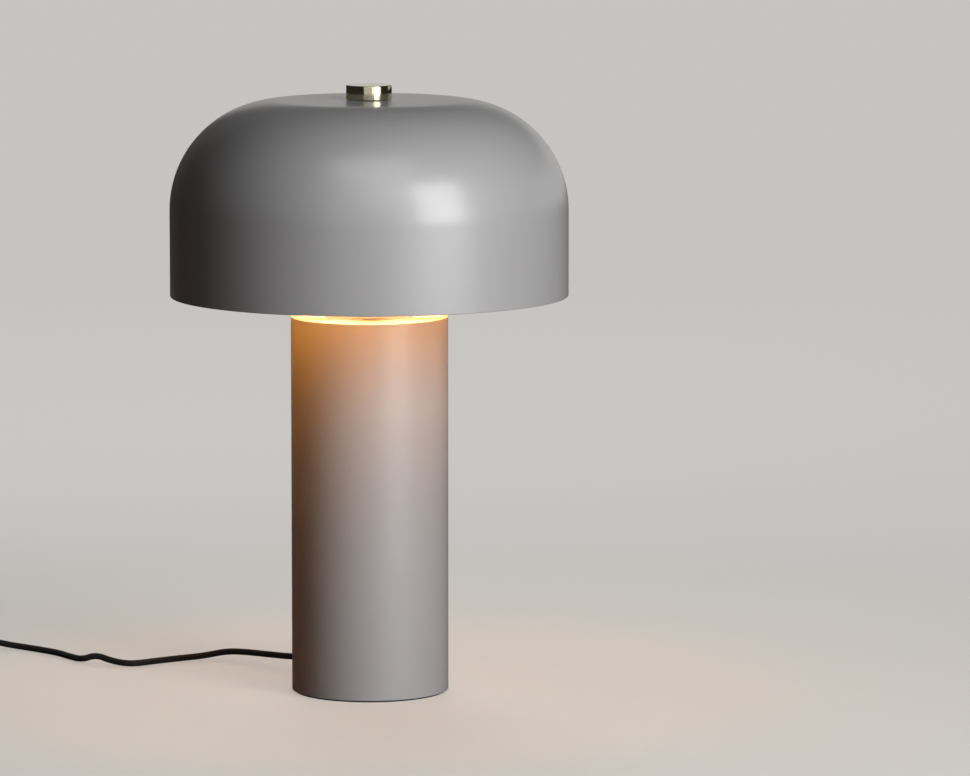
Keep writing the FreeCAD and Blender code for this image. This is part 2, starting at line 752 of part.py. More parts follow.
def make_inner_cord():
    """The sheathed lead from the strain relief to the pipe and up it, and its two core wires."""
    sheath_top = pipe_top - dim.sheath_back
    route = doc.addObject("Sketcher::SketchObject", "inner_route")
    place(route, turn=QUARTER_TURN, axis=Vector(1, 0, 0))
    points = [(relief_end, dim.exit_height), (dim.bend_radius, dim.exit_height),
              (0, dim.exit_height + dim.bend_radius), (0, sheath_top)]
    spots = [Vector(value_of(x), value_of(y), 0) for x, y in points]
    floor_run = route.addGeometry(Part.LineSegment(spots[0], spots[1]), False)
    centre = Vector(spots[1].x, spots[2].y, 0)
    circle = Part.Circle(centre, Vector(0, 0, 1), value_of(dim.bend_radius))
    bend = route.addGeometry(Part.ArcOfCircle(circle, math.pi, 1.5 * math.pi), False)
    rise = route.addGeometry(Part.LineSegment(spots[2], spots[3]), False)
    route.addConstraint(Sketcher.Constraint("Coincident", floor_run, 2, bend, 2))
    route.addConstraint(Sketcher.Constraint("Tangent", bend, 1, rise, 1))
    hold_point(route, floor_run, 1, *points[0])
    hold_point(route, floor_run, 2, *points[1])
    hold_point(route, rise, 1, *points[2])
    hold_point(route, rise, 2, *points[3])
    section = doc.addObject("Part::Circle", "sheath_section")
    bind(section, "Radius", cord_radius)
    place(section, relief_end, 0, dim.exit_height, QUARTER_TURN, Vector(0, 1, 0))
    swept = doc.addObject("Part::Sweep", "sheath")
    swept.Sections = [section]
    swept.Spine = (route, ["Edge1", "Edge2", "Edge3"])
    swept.Solid = True
    keep(place(group(swept), turn=dim.exit_angle), "inner_cord")
    wires = []
    for side in (-1, 1):
        wires.append(cylinder(dim.wire_diameter / 2, sheath_top, core_bottom - sheath_top,
                              y=dim.wire_spread / 2 * side))
    keep(group(*wires), "core_wires")


# Free lead

def rounded_wire(points, name):
    """Straight runs joined by tangent arcs, each as large as its two runs allow."""
    edges = []
    radii = []
    start = points[0]
    for before, corner, after in zip(points, points[1:], points[2:]):
        back = before - corner
        ahead = after - corner
        half_turn = (math.pi - back.getAngle(ahead)) / 2
        reach = ARC_SHARE * min(back.Length, ahead.Length)
        radius = reach / math.tan(half_turn)
        back.normalize()
        ahead.normalize()
        inward = (back + ahead).normalize()
        arrive = corner + back * reach
        leave = corner + ahead * reach
        middle = corner + inward * (radius / math.cos(half_turn) - radius)
        edges.append(Part.LineSegment(start, arrive).toShape())
        edges.append(Part.Arc(arrive, middle, leave).toShape())
        radii.append(radius)
        start = leave
    edges.append(Part.LineSegment(start, points[-1]).toShape())
    print(name, "radii", [round(radius, 1) for radius in radii])
    return Part.Wire(edges)


def tube_solid(path, start, direction, label):
    """A round solid of the lead's diameter along a path, checked against section times length."""
    radius = value_of(cord_radius)
    section = Part.Wire([Part.makeCircle(radius, start, direction)])
    solid = path.makePipeShell([section], True, False)
    expected = math.pi * radius ** 2 * path.Length
    print(label, "length", round(path.Length, 1), "volume ratio", round(solid.Volume / expected, 5))
    feature = doc.addObject("Part::Feature", label)
    feature.Shape = solid
    keep(feature, label)


def make_stretch(points, label):
    tube_solid(rounded_wire(points, label), points[0], points[1] - points[0], label)


def at_exit(distance):
    """A point on the axis of the strain relief, at a distance from the lamp's axis."""
    angle = math.radians(value_of(dim.exit_angle))
    reach = value_of(distance)
    return Vector(reach * math.cos(angle), reach * math.sin(angle), value_of(dim.exit_height))


def coil_heights():
    """Heights of the coil's two layers, which lie on the tie strap."""
    lower = value_of(dim.tie_thick + dim.tie_gap + cord_radius)
    return lower, lower + value_of(dim.cord_diameter + dim.turn_gap)


def make_lead():
    """From the strain relief, behind the base, over the surface in loose waves to the switch."""
    middle = value_of(dim.switch_height / 2)
    switch_end = value_of(dim.switch_x + dim.switch_length / 2)
    inside = switch_end - value_of(dim.switch_wall + dim.switch_grip)
    across = value_of(dim.switch_y)
    floor = value_of(cord_radius + dim.floor_gap)
    make_stretch([
        at_exit(relief_end),
        at_exit(relief_end + dim.exit_run),
        Vector(-81, 115, 14.0),
        Vector(-100, 138, 12.0),
        Vector(-121, 160, 10.0),
        Vector(-141, 174, 7.8),
        Vector(-165, 174, 4.8),
        Vector(-189, 162, floor),
        Vector(-212, 146, floor),
        Vector(-234, 131, floor),
        Vector(-256, 140, 5.4),
        Vector(-274, 155, 7.4),
        Vector(-291, 165, 4.2),
        Vector(-308, 191, 3.8),
        Vector(-331, 219, floor),
        Vector(-358, 237, 4.0),
        Vector(switch_end + 14, across, middle),
        Vector(inside, across, middle),
    ], "cord_lead")


def make_link():
    """From the switch round to the left side of the coil."""
    middle = value_of(dim.switch_height / 2)
    switch_end = value_of(dim.switch_x - dim.switch_length / 2)
    inside = switch_end + value_of(dim.switch_wall + dim.switch_grip)
    across = value_of(dim.switch_y)
    left = value_of(dim.coil_x)
    top = value_of(dim.coil_y + dim.stub_length)
    lower = coil_heights()[0]
    make_stretch([
        Vector(inside, across, middle),
        Vector(switch_end - 7, across, middle),
        Vector(switch_end - 22, across - 8, 7.0),
        Vector(left - 1, across - 25, 5.6),
        Vector(left - 1.5, across - 46, 4.9),
        Vector(left, across - 66, lower),
        Vector(left, top, lower),
    ], "cord_link")


def make_tail():
    """From the top of the coil down to the plug."""
    left = value_of(dim.coil_x)
    upper = coil_heights()[1]
    axis = value_of(dim.plug_thick / 2 + dim.floor_gap)
    start = value_of(dim.coil_y - dim.stub_length)
    plug_end = value_of(dim.plug_y)
    inside = plug_end - value_of(dim.plug_sleeve + dim.plug_grip)
    make_stretch([
        Vector(left, start, upper),
        Vector(left, start - 17, upper),
        Vector(left, plug_end + 18, axis),
        Vector(left, inside, axis),
    ], "cord_tail")


def arc_along(start, tangent, end):
    """The arc that leaves start along a unit tangent and reaches end, and its tangent there."""
    chord = end - start
    along = Vector(chord).normalize()
    share = tangent.dot(along)
    side = tangent - along * share
    angle = math.acos(max(-1.0, min(1.0, share)))
    middle = start + chord * 0.5 + side.normalize() * (chord.Length / 2 * math.tan(angle / 2))
    return Part.Arc(start, middle, end).toShape(), along * (2 * share) - tangent


def coil_path():
    """Half turns that spiral in on the lower layer, climb, and spiral out on the upper one."""
    lower, upper = coil_heights()
    pitch = value_of(dim.cord_diameter + dim.turn_gap)
    halves = 2 * int(value_of(dim.coil_turns))
    stub = Vector(0, value_of(dim.stub_length), 0)
    point = Vector(value_of(dim.coil_x), value_of(dim.coil_y), lower)
    tangent = Vector(0, -1, 0)
    edges = [Part.LineSegment(point + stub, point).toShape()]
    side = 1
    for step in list(range(halves)) + list(range(halves, 0, -1)):
        radius = value_of(dim.coil_radius) - step * pitch / 2
        across = Vector(2 * radius * side, 0, 0)
        if step == halves:
            end = point + across + Vector(0, 0, upper - lower)
            joint = (point + end) * 0.5 + tangent * ((end - point).Length / 2)
            edge, tangent = arc_along(point, tangent, joint)
            edges.append(edge)
            point = joint
        else:
            end = point + across
        edge, tangent = arc_along(point, tangent, end)
        edges.append(edge)
        point = end
        side = -side
    edges.append(Part.LineSegment(point, point - stub).toShape())
    return Part.Wire(edges)


def self_gap(path):
    """Least gap between stretches of the lead that are over half an inner turn apart along it."""
    inner_radius = value_of(dim.coil_radius - dim.coil_turns * dim.cord_diameter)
    apart = math.pi * inner_radius / 2
    points = path.discretize(Distance=GAP_STEP)
    step = path.Length / (len(points) - 1)
    skip = int(apart / step)
    least = min((points[first] - points[second]).Length
                for first in range(len(points))
                for second in range(first + skip, len(points)))
    return least - value_of(dim.cord_diameter)


def make_coil():
    path = coil_path()
    start = Vector(value_of(dim.coil_x), value_of(dim.coil_y + dim.stub_length), coil_heights()[0])
    tube_solid(path, start, Vector(0, -1, 0), "cord_coil")
    print("cord_coil least gap to itself", round(self_gap(path), 2))


def make_tie():
    """A strap round both layers at the right side of the coil."""
    pitch = dim.cord_diameter + dim.turn_gap
    right = dim.coil_x + dim.coil_radius * 2
    outer_side = right + cord_radius + dim.tie_gap
    inner_side = right - pitch * dim.coil_turns - cord_radius - dim.tie_gap * 2
    top = dim.tie_thick + dim.tie_gap * 2 + dim.cord_diameter * 2 + dim.turn_gap
    thick = dim.tie_thick
    tie = body("cord_tie")
    loop = sketch_on(tie, "XZ_Plane", -dim.coil_y)
    corner = dim.tie_corner
    outline(loop, [(inner_side - thick, 0, corner), (outer_side + thick, 0, corner),
                   (outer_side + thick, top + thick, corner), (inner_side - thick, top + thick, corner)])
    inner_corner = corner - thick
    outline(loop, [(inner_side, thick, inner_corner), (outer_side, thick, inner_corner),
                   (outer_side, top, inner_corner), (inner_side, top, inner_corner)])
    padded(tie, loop, dim.tie_width, both_sides=True)


# Switch

def rounded_plan(sketch, length, width, corner):
    """A rounded rectangle about the switch's middle."""
    low_x = dim.switch_x - length / 2
    high_x = dim.switch_x + length / 2
    low_y = dim.switch_y - width / 2
    high_y = dim.switch_y + width / 2
    outline(sketch, [(low_x, low_y, corner), (high_x, low_y, corner),
                     (high_x, high_y, corner), (low_x, high_y, corner)])


def edges_at(shape, height):
    """Names of the edges that lie wholly at one height."""
    names = []
    for index, edge in enumerate(shape.Edges, start=1):
        box = edge.BoundBox
        if abs(box.ZMin - height) < SAME_LEVEL and abs(box.ZMax - height) < SAME_LEVEL:
            names.append(f"Edge{index}")
    return names


def post_spots():
    """The two screw posts, across a diagonal of the switch."""
    return [(dim.switch_x + dim.post_x * side, dim.switch_y + dim.post_y * side) for side in (-1, 1)]


def half_shell(label, bottom, outer_face, floor_of_cavity, parting):
    """One hollow half of the switch with its outer edges rounded and the lead's two notches."""
    shell = body(label)
    plan = sketch_on(shell, "XY_Plane", bottom)
    rounded_plan(plan, dim.switch_length, dim.switch_width, dim.switch_corner)
    block = padded(shell, plan, dim.switch_height / 2)
    doc.recompute()
    edge = shell.newObject("PartDesign::Fillet", f"{label}_edge")
    edge.Base = (block, edges_at(block.Shape, value_of(outer_face)))
    bind(edge, "Radius", dim.switch_edge)
    room = dim.switch_wall * 2
    cavity = sketch_on(shell, "XY_Plane", parting)
    inner_corner = dim.switch_corner - dim.switch_wall
    rounded_plan(cavity, dim.switch_length - room, dim.switch_width - room, inner_corner)
    depth = dim.switch_height / 2 - dim.switch_wall
    pocketed(shell, cavity, depth, towards_normal=value_of(floor_of_cavity) > value_of(parting))
    notch = sketch_on(shell, "YZ_Plane", dim.switch_x)
    circle_in(notch, dim.switch_y, dim.switch_height / 2, cord_radius + dim.sheath_gap)
    pocketed(shell, notch, dim.switch_length, both_sides=True)
    return shell


def add_posts(shell, height, length, towards_normal):
    """Screw posts that fill the cavity from its floor to the parting face."""
    plan = sketch_on(shell, "XY_Plane", height)
    for x, y in post_spots():
        circle_in(plan, x, y, dim.post_diameter / 2)
    posts = padded(shell, plan, length)
    posts.Reversed = not towards_normal


def bore_posts(shell, radius, height, length, towards_normal):
    plan = sketch_on(shell, "XY_Plane", height)
    for x, y in post_spots():
        circle_in(plan, x, y, radius)
    pocketed(shell, plan, length, towards_normal)


def make_switch():
    """Two shells screwed together from below, two terminal blocks, and a rocker on pivot pins."""
    middle = dim.switch_height / 2
    depth = middle - dim.switch_wall
    shank = dim.switch_screw / 2
    lower = half_shell("switch_lower_shell", 0, 0, dim.switch_wall, middle)
    add_posts(lower, middle, depth, False)
    bore_posts(lower, shank + dim.shank_gap, middle, middle, False)
    bore_posts(lower, dim.switch_screw_head / 2 + dim.shank_gap, 0, dim.switch_screw_high, True)
    ceiling = dim.switch_height - dim.switch_wall
    upper = half_shell("switch_upper_shell", middle, dim.switch_height, ceiling, middle)
    add_posts(upper, middle, depth, True)
    bore_posts(upper, shank, middle, depth, True)
    open_rocker_slot(upper)
    screws = []
    thread_length = middle + depth - dim.switch_screw_high
    for x, y in post_spots():
        head = cylinder(dim.switch_screw_head / 2, 0, dim.switch_screw_high, x, y)
        thread = cylinder(shank, dim.switch_screw_high, thread_length, x, y)
        screws.append(fuse(head, thread))
    keep(group(*screws), "switch_screws")
    blocks = []
    for side in (-1, 1):
        block = doc.addObject("Part::Box", "terminal")
        for prop in ("Length", "Width", "Height"):
            bind(block, prop, dim.terminal_block)
        blocks.append(place(block, dim.switch_x + dim.terminal_place * side - dim.terminal_block / 2,
                            dim.switch_y - dim.terminal_block / 2, dim.switch_wall))
    keep(group(*blocks), "switch_terminals")
    make_rocker()


def open_rocker_slot(shell):
    """The slot in the upper shell, with cheeks that carry the rocker's pivot pins."""
    pivot = dim.switch_height - dim.pivot_drop
    cheek_wall = dim.switch_wall
    slot_length = dim.rocker_length + dim.rocker_gap * 2
    slot_width = dim.rocker_width + dim.rocker_gap * 2
    cheek_low = pivot - dim.pivot_diameter
    low_x = dim.switch_x - slot_length / 2 - cheek_wall
    high_x = dim.switch_x + slot_length / 2 + cheek_wall
    low_y = dim.switch_y - slot_width / 2 - cheek_wall
    high_y = dim.switch_y + slot_width / 2 + cheek_wall
    frame = sketch_on(shell, "XY_Plane", cheek_low)
    outline(frame, [(low_x, low_y), (high_x, low_y), (high_x, high_y), (low_x, high_y)])
    padded(shell, frame, dim.switch_height - dim.switch_wall - cheek_low)
    opening = sketch_on(shell, "XY_Plane", dim.switch_height)
    outline(opening, [(low_x + cheek_wall, low_y + cheek_wall), (high_x - cheek_wall, low_y + cheek_wall),
                      (high_x - cheek_wall, high_y - cheek_wall), (low_x + cheek_wall, high_y - cheek_wall)])
    pocketed(shell, opening, dim.switch_height - cheek_low)
    holes = sketch_on(shell, "XZ_Plane", -dim.switch_y)
    circle_in(holes, dim.switch_x, pivot, dim.pivot_diameter / 2 + dim.pivot_gap)
    pocketed(shell, holes, slot_width + dim.pivot_length * 2, both_sides=True)


def make_rocker():
    """A rocker with raised ends, leaning to one side at rest, made about its pivot axis."""
    rocker = body("switch_rocker")
    half = dim.rocker_length / 2
    side = sketch_on(rocker, "XZ_Plane")
    ends = dim.rocker_high + dim.rocker_rise
    outline(side, [(-half, 0), (0, -dim.rocker_low), (half, 0), (half, ends, dim.rocker_edge),
                   (0, dim.rocker_high), (-half, ends, dim.rocker_edge)])
    padded(rocker, side, dim.rocker_width, both_sides=True)
    pins = sketch_on(rocker, "XZ_Plane")
    circle_in(pins, 0, 0, dim.pivot_diameter / 2)
    padded(rocker, pins, dim.rocker_width + dim.rocker_gap * 2 + dim.pivot_length * 2 - dim.shank_gap * 2,
           both_sides=True)
    pivot = dim.switch_height - dim.pivot_drop
    place(rocker, dim.switch_x, dim.switch_y, pivot, dim.rocker_tilt, Vector(0, 1, 0))


# Plug

def make_plug():
    """A flat two-pin plug: tapered sleeve, wedge-shaped body, two round pins towards -Y."""
    plug = body("plug_body")
    axis = dim.plug_thick / 2 + dim.floor_gap
    back = dim.plug_y - dim.plug_sleeve
    front = back - dim.plug_length
    plan = sketch_on(plug, "XY_Plane", dim.floor_gap)
    narrow = dim.plug_back / 2
    wide = dim.plug_width / 2
    shoulder = front + dim.plug_length / 2
    middle = dim.coil_x
    outline(plan, [
        (middle - wide, front), (middle + wide, front), (middle + wide, shoulder, dim.plug_back),
        (middle + narrow, back), (middle - narrow, back), (middle - wide, shoulder, dim.plug_back),
    ])
    block = padded(plug, plan, dim.plug_thick)
    doc.recompute()
    edge = plug.newObject("PartDesign::Fillet", "plug_body_edge")
    names = edges_at(block.Shape, value_of(dim.floor_gap))
    names += edges_at(block.Shape, value_of(dim.floor_gap + dim.plug_thick))
    edge.Base = (block, names)
    bind(edge, "Radius", dim.plug_edge)
    sleeve = cone(dim.plug_sleeve_root / 2, dim.relief_tip / 2, 0, dim.plug_sleeve)
    place(sleeve, dim.coil_x, back, axis, -QUARTER_TURN, Vector(1, 0, 0))
    bore = rod_along_y(cord_radius + dim.sheath_gap, dim.coil_x, back - dim.plug_grip, axis,
                       dim.plug_sleeve + dim.plug_grip)
    holes = [bore]
    pins = []
    for side in (-1, 1):
        x = dim.coil_x + dim.pin_spacing / 2 * side
        holes.append(rod_along_y(dim.pin_diameter / 2, x, front, axis, dim.pin_root))
        pins.append(make_pin(x, front, axis))
    sub_parts.remove(plug)
    plug.Label = "plug_block"
    keep(cut(fuse(plug, sleeve), fuse(*holes)), "plug_body")
    keep(group(*pins), "plug_pins")


def rod_along_y(radius, x, y, z, length):
    return place(cylinder(radius, 0, length), x, y, z, -QUARTER_TURN, Vector(1, 0, 0))


def make_pin(x, front, axis):
    """A round pin with a rounded tip, from inside the plug out towards -Y."""
    length = dim.pin_root + dim.pin_length
    radius = dim.pin_diameter / 2
    pin = doc.addObject("PartDesign::Body", "pin")
    turned(pin, [(0, 0), (radius, 0), (radius, length, dim.pin_round), (0, length)])
    return place(pin, x, front + dim.pin_root, axis, QUARTER_TURN, Vector(1, 0, 0))


def check_and_write():
    """Stop at a failed feature or a bad shape, then write one file for each sub-part."""
    doc.recompute()
    failed = [item.Name for item in doc.Objects if "Invalid" in item.State or "Error" in item.State]
    if failed:
        raise ValueError(f"features that failed: {failed}")
    for part in sub_parts:
        if part.Shape.isNull() or not part.Shape.isValid():
            raise ValueError(f"bad shape: {part.Label}")
    os.makedirs("parts", exist_ok=True)
    for part in sub_parts:
        part.Shape.exportStep(f"parts/{part.Label}.step")
        print(part.Label, len(part.Shape.Solids), "solids", round(part.Shape.Volume / 1000, 3), "cm3")


make_base_tube()
make_ledges()
make_weight()
make_bottom()
make_clamp()
make_shade()
make_harp()
make_seat()
make_knob()
make_holder()
make_contacts()
make_bulb()
make_relief()
make_inner_cord()
make_lead()
make_switch()
make_link()
make_coil()
make_tie()
make_tail()
make_plug()
check_and_write()
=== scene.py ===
# %% [markdown]
# # A dome-shaded table lamp
#
# The lamp is a straight painted tube that carries a spun dome shade, held down by one brass knob. The
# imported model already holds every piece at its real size, so this lesson dresses it: it loads that
# model as a fixed frame, remakes the large smooth skins as fine surfaces, lays the cord, paints every
# piece with a node material, and lights it.

# %% Load the frame
import json
import math

import bmesh
import bpy
import numpy as np
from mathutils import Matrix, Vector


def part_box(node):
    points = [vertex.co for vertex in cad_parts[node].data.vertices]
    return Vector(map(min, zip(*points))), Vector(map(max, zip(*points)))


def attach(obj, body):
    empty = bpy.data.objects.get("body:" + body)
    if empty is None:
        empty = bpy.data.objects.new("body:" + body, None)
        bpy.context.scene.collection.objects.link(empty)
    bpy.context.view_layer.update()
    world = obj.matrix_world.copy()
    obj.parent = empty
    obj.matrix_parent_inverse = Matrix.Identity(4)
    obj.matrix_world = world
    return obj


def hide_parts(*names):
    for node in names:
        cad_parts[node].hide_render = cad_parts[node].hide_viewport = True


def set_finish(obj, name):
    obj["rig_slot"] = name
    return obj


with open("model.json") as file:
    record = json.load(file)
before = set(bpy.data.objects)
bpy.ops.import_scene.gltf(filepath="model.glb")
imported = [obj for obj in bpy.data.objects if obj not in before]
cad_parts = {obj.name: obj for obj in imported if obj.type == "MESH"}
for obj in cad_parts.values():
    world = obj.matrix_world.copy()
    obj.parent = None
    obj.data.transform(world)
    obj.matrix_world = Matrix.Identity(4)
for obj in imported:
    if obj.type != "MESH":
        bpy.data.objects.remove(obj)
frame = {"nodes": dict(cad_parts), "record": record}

MM = 0.001
scene = bpy.context.scene
nodes = frame["nodes"]
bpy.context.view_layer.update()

# %% [markdown]
# ## The camera
#
# A long lens from far away keeps the tube's sides nearly parallel, as a product photographer would
# have it. The camera stands a little above the shade and looks slightly down, so that the flat top of
# the shade shows as a thin sliver. No lens shift is needed: a small turn to the right puts the lamp
# left of the middle.

# %% Set the camera
CAMERA_PLACE = (0.0, -5.6105, 0.9859)
LOOK_DOWN = 0.1235
LOOK_RIGHT = 0.0195
SENSOR_WIDTH = 36.0
LENS = 221.2

camera = bpy.data.objects.new("camera", bpy.data.cameras.new("camera"))
camera.data.sensor_width = SENSOR_WIDTH
camera.data.lens = LENS
camera.location = CAMERA_PLACE
camera.rotation_euler = (math.pi / 2 - LOOK_DOWN, 0, -LOOK_RIGHT)
scene.collection.objects.link(camera)
scene.camera = camera
print("camera", round(math.dist(CAMERA_PLACE, (0, 0, 0)), 2), "m from the lamp's foot")

# %% [markdown]
# ## From a grid of points to a skin
#
# Every new piece here is a grid: rows of points, each row a ring or a section of the shape. Numpy works
# out all the points at once, and the faces join each four neighbours. Where the grid meets itself, at a
# seam or at a pole, its points fall together and are merged, which closes the skin. Merged first, the
# shape can then have all its normals turned outwards in one step.

# %% Make a skin
MERGE_DISTANCE = 1e-7


def skin(name, points, uv=None):
    """A mesh object from an array of rows by columns by 3, in metres, with one face to four neighbours.

    Without a map of its own, each point's UV is its share of the columns and its share of the rows.
    """
    rows, columns = points.shape[:2]
    spot = np.arange(rows * columns).reshape(rows, columns)
    corners = [spot[:-1, :-1], spot[:-1, 1:], spot[1:, 1:], spot[1:, :-1]]
    faces = np.stack(corners, axis=-1).reshape(-1, 4)
    if uv is None:
        uv = np.stack(np.meshgrid(np.linspace(0, 1, columns), np.linspace(0, 1, rows)), axis=-1)
    mesh = bpy.data.meshes.new(name)
    mesh.from_pydata(points.reshape(-1, 3).tolist(), [], faces.tolist())
    layer = mesh.uv_layers.new(name="UVMap")
    layer.data.foreach_set("uv", uv.reshape(-1, 2)[faces.ravel()].astype(np.float32).ravel())
    shape = bmesh.new()
    shape.from_mesh(mesh)
    bmesh.ops.remove_doubles(shape, verts=shape.verts, dist=MERGE_DISTANCE)
    bmesh.ops.recalc_face_normals(shape, faces=shape.faces)
    shape.to_mesh(mesh)
    shape.free()
    mesh.shade_smooth()
    piece = bpy.data.objects.new(name, mesh)
    scene.collection.objects.link(piece)
    return piece


print("a skin merges points closer than", MERGE_DISTANCE, "m")

# %% [markdown]
# ## Profiles for turned pieces
#
# Spun and turned metal is a profile carried round an axis. The profile is written as its few sharp
# corners with a radius each, as on a workshop drawing, and the function below rounds them. Straight
# stretches get points that crowd towards their ends, which keeps the smooth shading flat up to the
# rounded edge.

# %% Round a profile
ARC_STEP = 3.0 * MM
FLAT_STEP = 6.0 * MM
FEWEST_STEPS = 6


def unit(vector):
    """The vector divided by its own length."""
    return np.asarray(vector, float) / np.linalg.norm(vector)


def corner_arc(before, corner, after, radius):
    """Points of the arc that touches both sides of a corner: centre plus radius times a turning spoke."""
    if radius == 0:
        return corner[None]
    back, ahead = unit(before - corner), unit(after - corner)
    half = math.acos(np.clip(back @ ahead, -1, 1)) / 2
    centre = corner + unit(back + ahead) * radius / math.sin(half)
    first = unit(corner + back * radius / math.tan(half) - centre)
    last = unit(corner + ahead * radius / math.tan(half) - centre)
    turn = math.pi - 2 * half
    share = np.linspace(0, 1, max(FEWEST_STEPS, math.ceil(turn * radius / ARC_STEP)) + 1)[:, None]
    spoke = np.sin((1 - share) * turn) * first + np.sin(share * turn) * last
    return centre + radius * spoke / math.sin(turn)


def divided(line):
    """The line with points added on its long stretches, crowded towards each stretch's two ends."""
    pieces = []
    for start, end in zip(line[:-1], line[1:]):
        count = max(1, math.ceil(np.linalg.norm(end - start) / FLAT_STEP))
        share = (1 - np.cos(np.linspace(0, math.pi, count + 1)[:-1])) / 2
        pieces.append(start + share[:, None] * (end - start))
    return np.concatenate([*pieces, line[-1:]])


def rounded(corners, closed=False):
    """A line through corners given as (x, y) or (x, y, radius), rounded and divided."""
    spots = np.array([corner[:2] for corner in corners], float)
    radii = [corner[2] if len(corner) == 3 else 0 for corner in corners]
    neighbours = zip(np.roll(spots, 1, axis=0), spots, np.roll(spots, -1, axis=0), radii)
    arcs = [corner_arc(*group) for group in neighbours]
    line = np.concatenate(arcs + ([arcs[0][:1]] if closed else []))
    return divided(line)


print("arcs in steps of", ARC_STEP, "m, straight stretches of", FLAT_STEP, "m")

# %% Carry a profile round an axis
ROUND_SIDES = 192


def turned(name, profile, origin=(0, 0, 0), axis=(0, 0, 1), sides=ROUND_SIDES):
    """Radius and height as origin + height * axis + radius * (side cos angle + across sin angle)."""
    axis = unit(axis)
    side = unit(np.cross((0, 1, 0), axis))
    across = np.cross(axis, side)
    angle = np.linspace(0, 2 * math.pi, sides + 1)[:, None]
    spokes = np.cos(angle) * side + np.sin(angle) * across
    radius, height = profile[:, 0, None, None], profile[:, 1, None, None]
    return skin(name, np.asarray(origin) + height * axis + radius * spokes)


print("turned pieces have", ROUND_SIDES, "sides")

# %% [markdown]
# ## The cord's line
#
# The lamp has a black textile lead of about 1.86 m. It leaves through a strain relief low at the back
# of the base, swings out to the left in loose waves, passes through a small in-line switch, and the
# rest is wound into a neat tied coil with the plug beside it. A lead is one smooth curve, so its route
# is a single NURBS spline whose control points are given one by one, with the coil's turns worked out by
# a loop: half turns that step inwards, climb one layer, and step out again.

# %% Choose the cord's points
EXIT_ANGLE = math.radians(125)
EXIT_HEIGHT = 15.5
EXIT_REACH, EXIT_RUN = 96.5, 18.0
COIL_X, COIL_Y = -487.0, 150.0
COIL_RADIUS = 41.0
COIL_HALF_TURNS = 6
TURN_PITCH = 6.8
LOWER_LAYER, UPPER_LAYER = 4.4, 11.2
POINTS_PER_HALF_TURN = 12


def on_exit_axis(distance):
    """A point on the level line that leaves the lamp's axis at the exit's angle and height, in mm."""
    return (distance * math.cos(EXIT_ANGLE), distance * math.sin(EXIT_ANGLE), EXIT_HEIGHT)


def coil_points():
    """Half circles on alternate sides: radius falls by half a pitch each time, then grows back."""
    steps = [*range(COIL_HALF_TURNS), *range(COIL_HALF_TURNS, 0, -1)]
    share = np.linspace(0, 1, POINTS_PER_HALF_TURN, endpoint=False)
    x, side, layer, points = COIL_X, 1, LOWER_LAYER, []
    for step in steps:
        radius = COIL_RADIUS - step * TURN_PITCH / 2
        climb = UPPER_LAYER - LOWER_LAYER if step == COIL_HALF_TURNS else 0
        across = x + side * radius * (1 - np.cos(share * math.pi))
        along = COIL_Y - side * radius * np.sin(share * math.pi)
        points.append(np.column_stack([across, along, layer + climb * share]))
        x, side, layer = x + 2 * side * radius, -side, layer + climb
    return np.concatenate([*points, [[x, COIL_Y, layer]]])


LEAD = [on_exit_axis(EXIT_REACH), on_exit_axis(EXIT_REACH + EXIT_RUN), (-80, 112, 13), (-100, 136, 11),
        (-121, 158, 9.6), (-141, 172, 8.2), (-163, 170, 4.0), (-188, 160, 3.2), (-212, 144, 3.2),
        (-234, 127, 3.2), (-253, 140, 4.4), (-268, 150, 8.6), (-282, 154, 3.4), (-295, 173, 3.2),
        (-307, 194, 3.2), (-322, 210, 3.2), (-340, 227, 3.2), (-361, 239, 4.4), (-383, 246, 8.5),
        (-405, 246, 8.5)]
LINK = [(-451, 246, 8.5), (-466, 246, 8.5), (-481, 238, 7.0), (-488, 221, 5.6), (-488.5, 200, 4.9),
        (-487, 180, 4.4), (-487, 158, 4.4)]
TAIL = [(-487, 142, 11.2), (-487, 125, 11.2), (-487, 104, 6.9), (-487, 60, 6.9)]

route = np.concatenate([LEAD, LINK, coil_points(), TAIL]) * MM
print("cord route of", len(route), "points")

# %% Draw the cord's line
SMOOTHNESS = 14
SPLINE_ORDER = 3

line = bpy.data.curves.new("cord_line", "CURVE")
line.dimensions = "3D"
spline = line.splines.new("NURBS")
spline.points.add(len(route) - 1)
spline.points.foreach_set("co", np.column_stack([route, np.ones(len(route))]).ravel())
spline.order_u = SPLINE_ORDER
spline.use_endpoint_u = True
spline.resolution_u = SMOOTHNESS
line_holder = bpy.data.objects.new("cord_line", line)
line_mesh = bpy.data.meshes.new_from_object(line_holder)
cord_path = np.empty(len(line_mesh.vertices) * 3)
line_mesh.vertices.foreach_get("co", cord_path)
cord_path = cord_path.reshape(-1, 3)
bpy.data.objects.remove(line_holder)

# %% [markdown]
# ## The cord's sleeve
#
# The sleeve is a round section carried along that line. The lead never stands upright, so its frame is
# simply the line's direction, a level sideways arrow and the arrow square to both. The UV map keeps the
# true length in metres along the lead, which later lets the braid have its real thread spacing.

# %% Carry a section along a line
CORD_DIAMETER = 6.2 * MM
CORD_SIDES = 16


